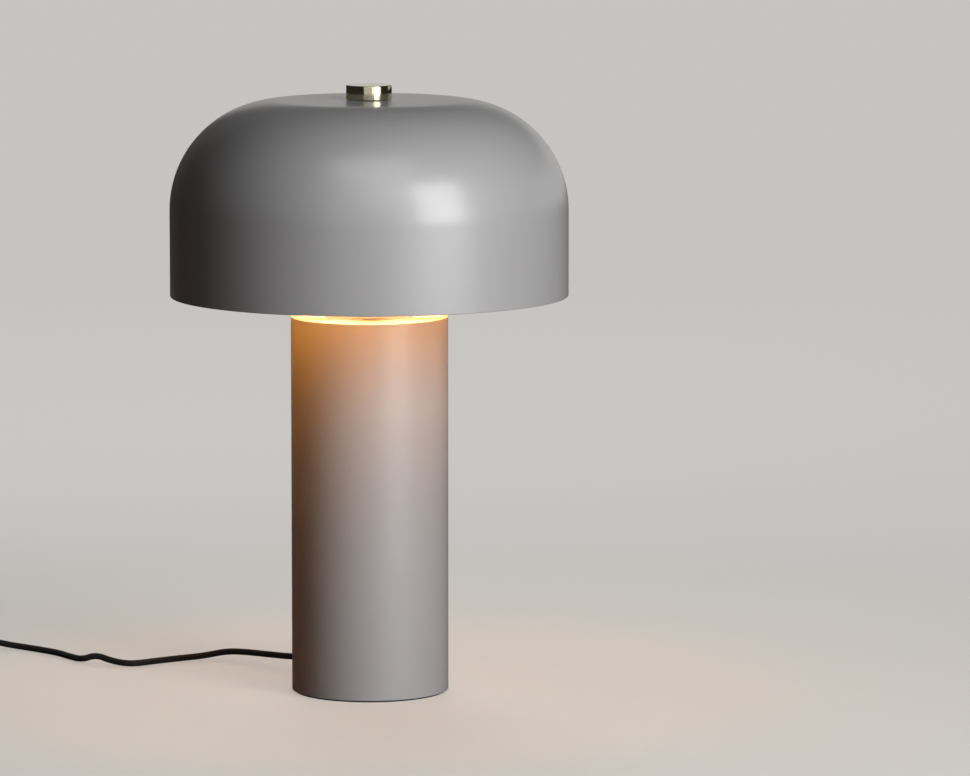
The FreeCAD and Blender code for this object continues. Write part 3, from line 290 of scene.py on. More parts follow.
def swept(name, path, section, sideways=None):
    """Rings of path + sideways * section x + upward * section y, closed by a point at each end."""
    direction = np.gradient(path, axis=0)
    direction /= np.linalg.norm(direction, axis=1, keepdims=True)
    if sideways is None:
        sideways = np.cross(direction, (0, 0, 1))
        sideways /= np.linalg.norm(sideways, axis=1, keepdims=True)
    sideways = np.broadcast_to(sideways, path.shape)
    upward = np.cross(sideways, direction)
    rings = path[:, None] + section[:, :1] * sideways[:, None] + section[:, 1:] * upward[:, None]
    caps = [np.repeat(path[end][None, None], len(section), axis=1) for end in (0, -1)]
    steps = np.linalg.norm(np.diff(path, axis=0), axis=1)
    travelled = np.cumsum([0, 0, *steps, 0])
    uv = np.stack(np.meshgrid(np.linspace(0, 1, len(section)), travelled), axis=-1)
    return skin(name, np.concatenate([caps[0], rings, caps[1]]), uv)


around = np.linspace(0, 2 * math.pi, CORD_SIDES + 1)
cord = swept("cord", cord_path, CORD_DIAMETER / 2 * np.column_stack([np.cos(around), np.sin(around)]))
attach(cord, "base")
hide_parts("cord_lead", "cord_link", "cord_coil", "cord_tail")
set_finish(cord, "textile_lead")
print("cord sleeve", len(cord.data.polygons), "faces")

# %% [markdown]
# ## The tie strap
#
# A short woven strap holds the coil together. It is pulled tight, so its line is the outline of the
# turns at the four corners of the bundle, moved out by the cord's radius and half its own thickness.
# Each corner moves along the meeting of its two sides' normals, and is rounded by the same reach.

# %% Draw the strap's loop
STRAP_THICK, STRAP_ROOM = 0.8 * MM, 0.1 * MM
QUARTER_TURN = np.array([(0, 1), (-1, 0)])

# Each corner turn of the bundle, as how many turns it lies in from the outermost one, and its layer.
corner_turns = ((1, UPPER_LAYER), (0, LOWER_LAYER), (2, LOWER_LAYER), (3, UPPER_LAYER))
outer_turn = COIL_X + 2 * COIL_RADIUS
turns = np.array([(outer_turn - count * TURN_PITCH, layer) for count, layer in corner_turns]) * MM
bundle_sides = np.roll(turns, -1, axis=0) - turns
normal = bundle_sides @ QUARTER_TURN / np.linalg.norm(bundle_sides, axis=1, keepdims=True)
normal_before = np.roll(normal, 1, axis=0)
strap_reach = CORD_DIAMETER / 2 + STRAP_THICK / 2 + STRAP_ROOM
meeting = (normal + normal_before) / (1 + np.sum(normal * normal_before, axis=1, keepdims=True))
loop = rounded([(*corner, strap_reach) for corner in turns + strap_reach * meeting], closed=True)
loop_runs = np.cumsum([0, *np.linalg.norm(np.diff(loop, axis=0), axis=1)])
print("strap once round", round(loop_runs[-1] / MM, 1), "mm")

# %% [markdown]
# The strap's end lies over its beginning. Its line goes on past one full round, and over that last
# stretch it is lifted outwards by a little more than its thickness, with a smooth step on the way.

# %% Wrap the strap
STRAP_OVERLAP, STRAP_RISE, STRAP_LIFT = 14 * MM, 8 * MM, 0.9 * MM
STRAP_EDGE = 0.3 * MM
STRAP_STEPS = 240


def eased(value, start, end):
    """0 before start, 1 after end, and the smooth step 3 s ** 2 - 2 s ** 3 of the share s between."""
    share = np.clip((value - start) / (end - start), 0, 1)
    return share * share * (3 - 2 * share)


strap_run = np.linspace(0, loop_runs[-1] + STRAP_OVERLAP, STRAP_STEPS)
strap_line = np.column_stack([np.interp(strap_run, loop_runs, side, period=loop_runs[-1])
                              for side in loop.T])
outward = np.gradient(strap_line, axis=0) @ QUARTER_TURN
outward /= np.linalg.norm(outward, axis=1, keepdims=True)
lift = STRAP_LIFT * eased(strap_run, loop_runs[-1] - STRAP_RISE, loop_runs[-1])
tie_low, tie_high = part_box("cord_tie")
strap_path = np.insert(strap_line + outward * lift[:, None], 1, (tie_low.y + tie_high.y) / 2, axis=1)

strap_half = np.array([tie_high.y - tie_low.y, STRAP_THICK]) / 2
strap_section = rounded([(*(strap_half * corner), STRAP_EDGE)
                         for corner in ((-1, -1), (1, -1), (1, 1), (-1, 1))], closed=True)
strap = swept("woven_strap", strap_path, strap_section, (0, 1, 0))
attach(strap, "base")
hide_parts("cord_tie")
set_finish(strap, "tie_strap")
print("strap", len(strap.data.polygons), "faces")

# %% [markdown]
# ## The plug
#
# The plug's body is moulded round the lead: flat and wide at the pins, narrow and round at the lead.
# Shallow ribs give the fingers a grip and let the sleeve bend. All of that is a row of numbers along the
# plug: half its width, half its thickness, and how square its section is. The ribs are a sine wave, made
# steeper and cut off, which leaves flat ribs with round grooves between them.

# %% Work out the plug's sections
PLUG_FRONT, PLUG_SHOULDER, PLUG_BACK, PLUG_END = np.array([32, 48, 69, 86]) * MM
PLUG_WIDE, PLUG_THICK, PLUG_ROOT, PLUG_TIP = np.array([17.0, 6.8, 5.5, 4.3]) * MM
PLUG_EDGE, PLUG_EDGE_STEPS = 2.2 * MM, 9
PLUG_RIB, PLUG_RIB_DEPTH = 3.2 * MM, 0.5 * MM
PLUG_RIB_STEEP, PLUG_RIB_FLAT = 2.0, 0.6
PLUG_STATIONS = 200
SQUARE, ROUND = 6.0, 2.0

edge_turn = np.linspace(0, math.pi / 2, PLUG_EDGE_STEPS)
edge_places = PLUG_FRONT + PLUG_EDGE * (1 - np.cos(edge_turn))
body_places = np.linspace(PLUG_FRONT + PLUG_EDGE, PLUG_END, PLUG_STATIONS)[1:]
plug_places = np.concatenate([edge_places, body_places])
edge_inset = np.concatenate([PLUG_EDGE * (1 - np.sin(edge_turn)), np.zeros(len(body_places))])
narrowing = eased(plug_places, PLUG_SHOULDER, PLUG_BACK)
neck_radius = np.interp(plug_places, [PLUG_BACK, PLUG_END], [PLUG_ROOT, PLUG_TIP])
rib_wave = np.sin(2 * math.pi * (plug_places - PLUG_SHOULDER) / PLUG_RIB)
rib_start = eased(plug_places, PLUG_SHOULDER, PLUG_SHOULDER + PLUG_RIB)
ribbed = rib_start * (plug_places < PLUG_END - PLUG_RIB)
plug_groove = PLUG_RIB_DEPTH * np.clip(PLUG_RIB_STEEP * rib_wave - PLUG_RIB_FLAT, 0, 1) * ribbed
plug_width = PLUG_WIDE + (neck_radius - PLUG_WIDE) * narrowing - edge_inset - plug_groove * narrowing
plug_depth = PLUG_THICK + (neck_radius - PLUG_THICK) * narrowing - edge_inset - plug_groove
plug_power = SQUARE + (ROUND - SQUARE) * narrowing
plug_sections = np.column_stack([plug_places, plug_width, plug_depth, plug_power])
print("plug", len(plug_sections), "sections")

# %% [markdown]
# Each cross section is a superellipse, |x / a| ** n + |z / b| ** n = 1, whose power n runs from 6, nearly
# a rectangle, to 2, a true ellipse. A point closes the front, and at the back a short bore takes the lead.

# %% Mould the plug
PLUG_BORE_END, PLUG_BORE, PLUG_AXIS = 76 * MM, 3.15 * MM, 6.9 * MM
PLUG_SIDES = 112
EXACT_DIGITS = 9

front_point = [(PLUG_FRONT, 0, 0, SQUARE)]
lead_bore = [(PLUG_END, PLUG_BORE, PLUG_BORE, ROUND), (PLUG_BORE_END, PLUG_BORE, PLUG_BORE, ROUND),
             (PLUG_BORE_END, 0, 0, ROUND)]
place, width, depth, power = np.concatenate([front_point, plug_sections, lead_bore]).T[:, :, None]
# Rounded, the zeros at the quarter turns are exact, so the seam's two ends fall together.
angle = np.linspace(0, 2 * math.pi, PLUG_SIDES + 1)
cosine, sine = np.round(np.cos(angle), EXACT_DIGITS), np.round(np.sin(angle), EXACT_DIGITS)
across = COIL_X * MM + width * np.sign(cosine) * np.abs(cosine) ** (2 / power)
height = PLUG_AXIS + depth * np.sign(sine) * np.abs(sine) ** (2 / power)
plug = skin("plug_moulding", np.stack([across, np.broadcast_to(place, across.shape), height], axis=-1))
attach(plug, "base")
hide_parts("plug_body")
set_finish(plug, "lead_plastic")
print("plug", len(plug.data.polygons), "faces")

# %% [markdown]
# ## The shade
#
# The real shade is spun from sheet: a flat top, one large round shoulder, a short straight wall. A
# sphere cut in half would give the wrong shoulder, so the profile is drawn corner by corner, with the
# shoulder's own radius, and carried round. The shell has both faces, and the inner face gets the cream
# enamel that throws a warm light back down.

# %% Spin the shade
shade_low, shade_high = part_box("shade")
SHADE_RADIUS, SHADE_RIM, SHADE_TOP = (round(size, 4) for size in (shade_high.x, shade_low.z, shade_high.z))
SHOULDER = 104 * MM
SHADE_SHEET = 1.0 * MM
SHADE_HOLE = 5.0 * MM
SHEET_EDGE = 0.4 * MM

shade_profile = rounded([
    (SHADE_HOLE, SHADE_TOP),
    (SHADE_RADIUS, SHADE_TOP, SHOULDER),
    (SHADE_RADIUS, SHADE_RIM, SHEET_EDGE),
    (SHADE_RADIUS - SHADE_SHEET, SHADE_RIM, SHEET_EDGE),
    (SHADE_RADIUS - SHADE_SHEET, SHADE_TOP - SHADE_SHEET, SHOULDER - SHADE_SHEET),
    (SHADE_HOLE, SHADE_TOP - SHADE_SHEET),
], closed=True)
shade = turned("dome_shade", shade_profile)
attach(shade, "shade")
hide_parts("shade")
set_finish(shade, "grey_paint")
print("shade", len(shade.data.polygons), "faces")

# %% [markdown]
# The inner rows of faces are found by their distance from the bend's centre. On the flat top only the
# upward part of that distance counts, and on the straight wall only the outward part, so one test does
# for the top, the shoulder and the wall.

# %% Mark the shade's inside
middles = (shade_profile[:-1] + shade_profile[1:]) / 2
from_bend = np.maximum(middles - (SHADE_RADIUS - SHOULDER, SHADE_TOP - SHOULDER), 0)
inner_rows = np.hypot(*from_bend.T) < SHOULDER - SHADE_SHEET / 2
shade.data.polygons.foreach_set("material_index", np.repeat(inner_rows, ROUND_SIDES).astype(np.int32))
print("inner rows", int(inner_rows.sum()), "of", len(inner_rows))

# %% [markdown]
# ## The base tube and the knob
#
# The base is a length of tube with softly broken rims. The knob is a turned brass disc with a blind
# bore for its bolt, and its narrow rounded edges are what catches the light.

# %% Turn the base tube
tube_low, tube_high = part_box("base_tube")
BASE_RADIUS, BASE_BOTTOM, BASE_TOP = (round(size, 4) for size in (tube_high.x, tube_low.z, tube_high.z))
BASE_SHEET = 1.2 * MM

base = turned("tube_base", rounded([
    (BASE_RADIUS, BASE_BOTTOM, SHEET_EDGE),
    (BASE_RADIUS, BASE_TOP, SHEET_EDGE),
    (BASE_RADIUS - BASE_SHEET, BASE_TOP, SHEET_EDGE),
    (BASE_RADIUS - BASE_SHEET, BASE_BOTTOM, SHEET_EDGE),
], closed=True))
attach(base, "base")
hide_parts("base_tube")
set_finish(base, "grey_paint")
print("base", len(base.data.polygons), "faces")

# %% Turn the knob
knob_low, knob_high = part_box("knob")
KNOB_RADIUS, KNOB_BOTTOM, KNOB_TOP = (round(size, 4) for size in (knob_high.x, knob_low.z, knob_high.z))
KNOB_EDGE = 0.8 * MM
KNOB_BORE_RADIUS = 4.1 * MM
KNOB_BORE_DEPTH = 10.5 * MM

knob = turned("brass_knob", rounded([
    (0, KNOB_TOP),
    (KNOB_RADIUS, KNOB_TOP, KNOB_EDGE),
    (KNOB_RADIUS, KNOB_BOTTOM, KNOB_EDGE),
    (KNOB_BORE_RADIUS, KNOB_BOTTOM),
    (KNOB_BORE_RADIUS, KNOB_BOTTOM + KNOB_BORE_DEPTH),
    (0, KNOB_BOTTOM + KNOB_BORE_DEPTH),
]))
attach(knob, "knob")
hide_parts("knob")
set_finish(knob, "polished_brass")
print("knob", len(knob.data.polygons), "faces")

# %% [markdown]
# ## The bulb's globe
#
# The bulb is an opal globe on a white neck. The globe is an arc of a circle from the neck's rim to the
# top, turned about the axis.

# %% Blow the globe
GLOBE_RADIUS, NECK_RADIUS = 30 * MM, 19 * MM
GLOBE_STEPS = 72
GLOBE_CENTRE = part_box("bulb_glass")[1].z - GLOBE_RADIUS

neck_angle = -math.acos(NECK_RADIUS / GLOBE_RADIUS)
sweep = np.linspace(neck_angle, math.pi / 2, GLOBE_STEPS)
globe_profile = np.column_stack([np.cos(sweep), np.sin(sweep)]) * GLOBE_RADIUS + (0, GLOBE_CENTRE)
globe_profile[-1, 0] = 0
globe = turned("opal_globe", np.concatenate([[(0, globe_profile[0, 1])], globe_profile]))
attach(globe, "bulb")
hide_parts("bulb_glass")
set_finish(globe, "opal_globe")
print("globe centre", round(GLOBE_CENTRE, 4))

# %% [markdown]
# ## The strain relief
#
# Where the lead leaves the base, a moulded bushing snaps into the wall and a tapered sleeve keeps the
# lead from kinking. Such sleeves are ribbed so that they bend evenly: the radius is a straight taper
# less a row of round grooves, which stop short of the tip.

# %% Draw the ribbed sleeve
RELIEF_FLANGE = 2.0 * MM
RELIEF_ROOT, RELIEF_TIP = 5.5 * MM, 4.3 * MM
RIB_PITCH, RIB_DEPTH = 3.2 * MM, 0.9 * MM
RIB_STEEP, RIB_FLAT, RIB_DELAY = 1.5, 0.5, 0.5
RIBBED_SHARE = 0.9
RIB_STEPS = 120

sleeve_start, sleeve_end = BASE_RADIUS + RELIEF_FLANGE, EXIT_REACH * MM
sleeve_share = np.linspace(0, 1, RIB_STEPS)
sleeve_run = sleeve_share * (sleeve_end - sleeve_start)
sleeve_wave = np.sin(2 * math.pi * sleeve_run / RIB_PITCH - RIB_DELAY)
sleeve_ribs = np.clip(RIB_STEEP * sleeve_wave - RIB_FLAT, 0, 1) * (sleeve_share < RIBBED_SHARE)
sleeve_radius = RELIEF_ROOT + (RELIEF_TIP - RELIEF_ROOT) * sleeve_share - RIB_DEPTH * sleeve_ribs
sleeve_profile = np.column_stack([sleeve_radius, sleeve_start + sleeve_run])
print("sleeve", round((sleeve_end - sleeve_start) / MM, 1), "mm long")

# %% Mould the strain relief
RELIEF_START = BASE_RADIUS - 3.8 * MM
RELIEF_COLLAR, RELIEF_NECK, RELIEF_BORE = 6.5 * MM, 4.5 * MM, 3.15 * MM
RELIEF_EDGE = 0.5 * MM
RELIEF_SIDES = 48

bushing = rounded([
    (RELIEF_BORE, RELIEF_START),
    (RELIEF_COLLAR, RELIEF_START, RELIEF_EDGE),
    (RELIEF_COLLAR, RELIEF_START + RELIEF_FLANGE, RELIEF_EDGE),
    (RELIEF_NECK, RELIEF_START + RELIEF_FLANGE),
    (RELIEF_NECK, BASE_RADIUS),
    (RELIEF_COLLAR, BASE_RADIUS, RELIEF_EDGE),
    (RELIEF_COLLAR, sleeve_start, RELIEF_EDGE),
    (RELIEF_ROOT, sleeve_start),
])
bore = np.array([(RELIEF_BORE, sleeve_end), (RELIEF_BORE, RELIEF_START)])
exit_axis = (math.cos(EXIT_ANGLE), math.sin(EXIT_ANGLE), 0)
relief_profile = np.concatenate([bushing, sleeve_profile, bore])
relief = turned("strain_sleeve", relief_profile, (0, 0, EXIT_HEIGHT * MM), exit_axis, RELIEF_SIDES)
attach(relief, "base")
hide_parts("strain_relief")
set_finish(relief, "lead_plastic")
print("strain relief", len(relief.data.polygons), "faces")

# %% [markdown]
# ## Colours and nodes
#
# Colours are written as sRGB hex values, the way a paint chart or a screen gives them, and one function
# turns them to the linear values that the renderer mixes. One more function adds a node with its
# settings and links, which keeps each finish short enough to read as a recipe.

# %% Prepare colours and nodes
MIDDLE_GREY = "#808080"


def linear(code):
    """sRGB hex to linear light and alpha: ((c + 0.055) / 1.055) ** 2.4, or c / 12.92 near black."""
    channel = np.array([int(code[i:i + 2], 16) for i in (1, 3, 5)]) / 255
    level = np.where(channel <= 0.04045, channel / 12.92, ((channel + 0.055) / 1.055) ** 2.4)
    return (*level.tolist(), 1.0)


def add(tree, kind, inputs=None, **settings):
    """One node: its settings by name, and each input as a plain value or another node's output."""
    node = tree.nodes.new(kind)
    for name, value in settings.items():
        setattr(node, name, value)
    for name, value in (inputs or {}).items():
        if isinstance(value, bpy.types.NodeSocket):
            tree.links.new(value, node.inputs[name])
        else:
            node.inputs[name].default_value = value
    return node


def new_finish(name):
    """An empty node material and its node tree."""
    finish = bpy.data.materials.new(name)
    finish.use_nodes = True
    finish.node_tree.nodes.clear()
    return finish, finish.node_tree


print("middle grey", MIDDLE_GREY, "is", round(linear(MIDDLE_GREY)[0], 3), "in linear light")

# %% [markdown]
# ## Finishes with a grain
#
# Most of the lamp's finishes differ only in their numbers: a moulded plastic, a casting and a plated
# strap each have a grain of a real size that tints the colour, dulls the gloss and roughens the surface
# together. One noise in object coordinates drives all three. Each finish is then one call: a dark and a
# light tint, a roughness, the grain's size and the relief's depth in millimetres. Most real grains are
# far finer than half a millimetre and wouldn't show from here, so they are drawn about that coarse or
# coarser.

# %% Describe a grained finish
GRAIN_DETAIL = 4


def grained(name, dark, light, roughness, grain, depth, metallic=0.0, stretch=(1, 1, 1), uneven=0.08,
            **sockets):
    """Noise of a grain size in mm mixes dark to light, varies the roughness and lifts a depth in mm."""
    finish, tree = new_finish(name)
    place = add(tree, "ShaderNodeTexCoord").outputs["Object"]
    place = add(tree, "ShaderNodeMapping", {"Vector": place, "Scale": stretch}).outputs[0]
    noise = add(tree, "ShaderNodeTexNoise",
                {"Vector": place, "Scale": 1 / (grain * MM), "Detail": GRAIN_DETAIL}).outputs[0]
    tint = add(tree, "ShaderNodeMix", {0: noise, 6: linear(dark), 7: linear(light)}, data_type="RGBA")
    gloss = add(tree, "ShaderNodeMapRange",
                {"Value": noise, "To Min": roughness - uneven, "To Max": roughness + uneven})
    relief = add(tree, "ShaderNodeBump", {"Height": noise, "Distance": depth * MM, "Strength": 1.0})
    shader = add(tree, "ShaderNodeBsdfPrincipled",
                 {"Base Color": tint.outputs[2], "Roughness": gloss.outputs[0], "Metallic": metallic,
                  "Normal": relief.outputs[0], **sockets})
    add(tree, "ShaderNodeOutputMaterial", {"Surface": shader.outputs[0]})
    return finish


print("a grain is noise with", GRAIN_DETAIL, "octaves of detail")

# %% [markdown]
# ## Paints
#
# Powder coat is sprayed on as dust and melted to one film. Its pigment scatters light broadly, and the
# film's skin adds a sharper bloom, so the grey paint has a rough base under a smoother coat. The film's
# faint orange peel, about a millimetre from crest to crest, is drawn a little deeper than a real one, so
# that it shows.

# %% Mix the paints
finishes = {}
# A neutral satin grey: a soft, square-edged highlight and sides that fade to dark without a glint.
finishes["grey_paint"] = grained(
    "satin_powder_coat", "#a3a3a5", "#a9a8aa", 0.60, 1.2, 0.006, uneven=0.04,
    **{"Specular IOR Level": 1.0, "Coat Weight": 0.95, "Coat Roughness": 0.26})
# A plain white on the top plate, which takes the bulb's light and shows as a bright crescent.
finishes["white_paint"] = grained("white_powder_coat", "#e9e6de", "#f1eee6", 0.45, 1.2, 0.012)
# A fired enamel in deep cream inside the shade: it colours the bulb's light amber on its way down.
finishes["cream_inside"] = grained("cream_enamel", "#f0cf80", "#f5d88c", 0.45, 1.2, 0.012)
print("paints:", len(finishes))

# %% [markdown]
# ## Metals
#
# A metal has no colour but that of its mirror, so its tint, its roughness and the direction of its grain
# say how it was worked. Grain along one axis is the same noise, stretched or squeezed along it.

# %% Work the metals
# Turned and polished: crisp bands of light and dark, with lathe marks too fine to see one by one.
finishes["polished_brass"] = grained("polished_brass", "#b9b296", "#c6c0a6", 0.10, 0.8, 0.0005,
                                     metallic=1.0, stretch=(1, 1, 12), uneven=0.03)
# Zinc plating on rolled strip: a cool, half-dull grey with streaks along the strip.
finishes["zinc_steel"] = grained("zinc_plated_steel", "#9fa2a6", "#c3c5c8", 0.34, 0.6, 0.006,
                                 metallic=1.0, stretch=(1, 1, 0.08), uneven=0.10)
# A raw sand casting with its skin of oxide: dark, dull and coarse to the touch.
finishes["cast_iron"] = grained("cast_iron", "#232325", "#3d3c3c", 0.75, 1.5, 0.15, metallic=0.3)
# Stamped from sheet: a warmer yellow than the knob, with a soft shine.
finishes["contact_brass"] = grained("stamped_brass", "#b98f4c", "#d0a75e", 0.28, 0.7, 0.006, metallic=1.0)
# Drawn and nickelled: a warm silver with fine lines up the cap.
finishes["cap_nickel"] = grained("drawn_nickel", "#a9a7a2", "#c8c6c0", 0.25, 0.5, 0.004,
                                 metallic=1.0, stretch=(1, 1, 0.1))
# Plated pins: brighter, with lines along each pin.
finishes["pin_nickel"] = grained("nickel_pins", "#b4b1aa", "#cfccc5", 0.2, 0.4, 0.003,
                                 metallic=1.0, stretch=(1, 0.08, 1))
print("paints and metals:", len(finishes))

# %% [markdown]
# ## Plastics, rubber and glass
#
# Moulded pieces copy the skin of their mould: a fine spark-eroded grain on the handled ones, a smoother
# one inside. Rubber and fibre swallow light, glass gives a small hard glint.

# %% Mould the plastics
# Open foam under the foot: black without any shine.
finishes["foot_foam"] = grained("foam_rubber", "#161616", "#242424", 0.9, 0.7, 0.12)
# Clear silicone: milky, with a wet gloss.
finishes["silicone"] = grained("clear_silicone", "#cfcfca", "#dededa", 0.35, 3.0, 0.02,
                               **{"Subsurface Weight": 0.2})
# Vulcanised fibre, pressed from paper: a dry red-brown.
finishes["fibre"] = grained("vulcanised_fibre", "#5c2a18", "#7c4026", 0.6, 0.9, 0.03)
# Thermoset of the lamp holder: hard, black, with a half gloss.
finishes["holder_plastic"] = grained("thermoset_holder", "#171717", "#212122", 0.38, 0.5, 0.008)
# White moulding of the bulb's neck: an even satin white.
finishes["bulb_plastic"] = grained("white_moulding", "#e2e0da", "#ecebe6", 0.42, 1.0, 0.008)
# Fused glass of the bulb's insulator: near black, with sharp glints.
finishes["black_glass"] = grained("fused_glass", "#0d0d10", "#18181c", 0.12, 2.0, 0.02)
# Insulated wire: a plain blue skin.
finishes["wire_plastic"] = grained("wire_insulation", "#2c4a8c", "#3559a0", 0.4, 1.0, 0.01)
# Moulding of switch, plug and strain relief: black with a fine grain that dulls its edges.
finishes["lead_plastic"] = grained("black_moulding", "#141414", "#1f1f20", 0.45, 0.45, 0.02)
print("grained finishes:", len(finishes))

# %% [markdown]
# ## The braid
#
# The lead's cover and the strap are braided from black yarn. Two sets of strands wind round in opposite
# directions and pass over and under each other. In the UV map each set is a row of slanted ridges: a
# sine along the slant gives the ridge, and the sign of the two sines' product tells which set lies on
# top. Real strands are bundles of finer yarns, drawn here as one broad ridge each, so that they show.

# %% Braid the lead's cover and the strap
CARRIERS, BRAID_LAY, YARN_DEPTH = 12, 22 * MM, 0.25 * MM
STRAP_YARNS, STRAP_LAY, STRAP_DEPTH = 24, 16 * MM, 0.15 * MM
YARN_ROUGHNESS, YARN_SHEEN = 0.8, 0.04


def braided(name, dark, light, carriers, lay, depth):
    """Strands in a UV map: carriers to one width, winding round once in each lay, ridges of a depth."""
    finish, tree = new_finish(name)
    uv = add(tree, "ShaderNodeTexCoord").outputs["UV"]
    waves, ridges = [], []
    for way in (1, -1):
        slant = (math.pi * carriers, way * math.pi * carriers / lay, 0)
        phase = add(tree, "ShaderNodeVectorMath", {0: uv, 1: slant}, operation="DOT_PRODUCT")
        waves.append(add(tree, "ShaderNodeMath", {0: phase.outputs["Value"]}, operation="SINE").outputs[0])
        ridges.append(add(tree, "ShaderNodeMath", {0: waves[-1]}, operation="ABSOLUTE").outputs[0])
    product = add(tree, "ShaderNodeMath", {0: waves[0], 1: waves[1]}, operation="MULTIPLY").outputs[0]
    over = add(tree, "ShaderNodeMath", {0: product, 1: 0.0}, operation="GREATER_THAN").outputs[0]
    ridge = add(tree, "ShaderNodeMix", {0: over, 2: ridges[1], 3: ridges[0]}, data_type="FLOAT").outputs[0]
    # The colour runs from dark in the grooves to light on the crests: painted shade and a painted
    # highlight that follow the ridges.
    tint = add(tree, "ShaderNodeMix", {0: ridge, 6: linear(dark), 7: linear(light)}, data_type="RGBA")
    relief = add(tree, "ShaderNodeBump", {"Height": ridge, "Distance": depth, "Strength": 1.0})
    shader = add(tree, "ShaderNodeBsdfPrincipled",
                 {"Base Color": tint.outputs[2], "Roughness": YARN_ROUGHNESS, "Sheen Weight": YARN_SHEEN,
                  "Normal": relief.outputs[0]})
    add(tree, "ShaderNodeOutputMaterial", {"Surface": shader.outputs[0]})
    return finish


# Dyed yarn: a deep matt black, with a painted highlight on the strand crests and painted shade in the
# grooves.
finishes["textile_lead"] = braided("braided_textile", "#030303", "#0d0d0e",
                                   CARRIERS, BRAID_LAY, YARN_DEPTH)
# A flatter, tighter weave, a shade paler than the lead, with the same painted highlight on its crests and
# painted shade in its grooves.
finishes["tie_strap"] = braided("strap_weave", "#0b0b0c", "#1d1d1f",
                                STRAP_YARNS, STRAP_LAY, STRAP_DEPTH)
print("braid of", CARRIERS, "carriers, strap of", STRAP_YARNS, "yarns")

# %% [markdown]
# ## The lit globe
#
# The bulb is on. Opal glass scatters the light so well that the globe glows evenly, so its finish is a
# pale smooth dielectric that also emits warm light. The light that it throws comes from a lamp inside
# it, further down.

# %% Light the globe
OPAL_TINT, OPAL_ROUGHNESS = "#f4efe6", 0.22
GLOW_TINT, GLOW_STRENGTH = "#ffd9a0", 0.9


def lit_opal(name):
    """Opal glass that is one even colour and one even glow."""
    finish, tree = new_finish(name)
    shader = add(tree, "ShaderNodeBsdfPrincipled",
                 {"Base Color": linear(OPAL_TINT), "Roughness": OPAL_ROUGHNESS,
                  "Emission Color": linear(GLOW_TINT), "Emission Strength": GLOW_STRENGTH})
    add(tree, "ShaderNodeOutputMaterial", {"Surface": shader.outputs[0]})
    return finish


# Opal glass over a burning lamp: one even warm glow under a soft gloss.
finishes["opal_globe"] = lit_opal("lit_opal_glass")
print("finishes:", len(finishes))

# %% [markdown]
# ## Paint every piece
#
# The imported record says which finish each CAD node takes, so a loop dresses them all, and the new pieces
# take theirs by the same names. The shade's second material is the cream of its inner faces.

# %% Assign the finishes
slot_of = {row["node"]: row["material_slot"] for row in frame["record"]["subparts"]}
for name, node in nodes.items():
    node.data.materials.clear()
    node.data.materials.append(finishes[slot_of[name]])
for piece in (cord, strap, plug, base, knob, globe, relief, shade):
    piece.data.materials.append(finishes[piece["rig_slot"]])
shade.data.materials.append(finishes["cream_inside"])
print("dressed", len(nodes), "nodes")

# %% [markdown]

# %% [markdown]
# ## The floor and the world
#
# The lamp stands on a plain pale floor without an edge. Near the object it is matt paper that takes the
# shadow. Farther off, where the studio lamps would leave bright pools, it fades to an even glow of its
# own, which only the camera sees. Scattered light and reflections meet a darker floor, which keeps the
# lamp's shaded side dark.

# %% Spread the floor
FLOOR_RADIUS = 14.0
FLOOR_PALE, FLOOR_MATT, FLOOR_DIM, FLOOR_FAR = "#dbd9d5", "#949390", "#5e5048", "#000000"
GLOW_NEAR, GLOW_FAR = 0.50, 0.80
MATT_REACH, MATT_FALL = 1.3, 4.0


def pale_floor(name):
    """Matt paper to a share of 1 / (1 + (distance / reach) ** fall), and for the rest the far glow."""
    finish, tree = new_finish(name)
    seen = add(tree, "ShaderNodeLightPath").outputs["Is Camera Ray"]
    place = add(tree, "ShaderNodeTexCoord").outputs["Object"]
    reach = add(tree, "ShaderNodeVectorMath", {0: place, "Scale": 1 / MATT_REACH}, operation="SCALE")
    distance = add(tree, "ShaderNodeVectorMath", {0: reach.outputs[0]}, operation="LENGTH")
    power = add(tree, "ShaderNodeMath", {0: distance.outputs["Value"], 1: MATT_FALL}, operation="POWER")
    fall = add(tree, "ShaderNodeMath", {0: power.outputs[0], 1: 1.0}, operation="ADD")
    near = add(tree, "ShaderNodeMath", {0: 1.0, 1: fall.outputs[0]}, operation="DIVIDE").outputs[0]
    paper = add(tree, "ShaderNodeMix",
                {0: near, 6: linear(FLOOR_FAR), 7: linear(FLOOR_MATT)}, data_type="RGBA")
    tint = add(tree, "ShaderNodeMix",
               {0: seen, 6: linear(FLOOR_DIM), 7: paper.outputs[2]}, data_type="RGBA")
    level = add(tree, "ShaderNodeMapRange", {"Value": near, "To Min": GLOW_FAR, "To Max": GLOW_NEAR})
    lift = add(tree, "ShaderNodeMath", {0: seen, 1: level.outputs[0]}, operation="MULTIPLY")
    matt = add(tree, "ShaderNodeBsdfDiffuse", {"Color": tint.outputs[2]})
    glow = add(tree, "ShaderNodeEmission", {"Color": linear(FLOOR_PALE), "Strength": lift.outputs[0]})
    both = add(tree, "ShaderNodeAddShader", {0: matt.outputs[0], 1: glow.outputs[0]})
    add(tree, "ShaderNodeOutputMaterial", {"Surface": both.outputs[0]})
    return finish


floor = turned("floor", np.array([(0.0, 0.0), (FLOOR_RADIUS, 0.0)]))
# Matt paper: no shine at all, only the soft shadow of the lamp.
floor.data.materials.append(pale_floor("pale_floor"))
print("floor radius", FLOOR_RADIUS, "m")

# %% [markdown]
# Above the floor the camera sees the same pale colour, so no horizon shows. Reflections see a pale wall
# too, which draws the bright sliver on the shade's flat top, and scattered light gets almost nothing.

# %% Colour the world
WORLD_MIRROR = 0.86
WORLD_AMBIENT = 0.012

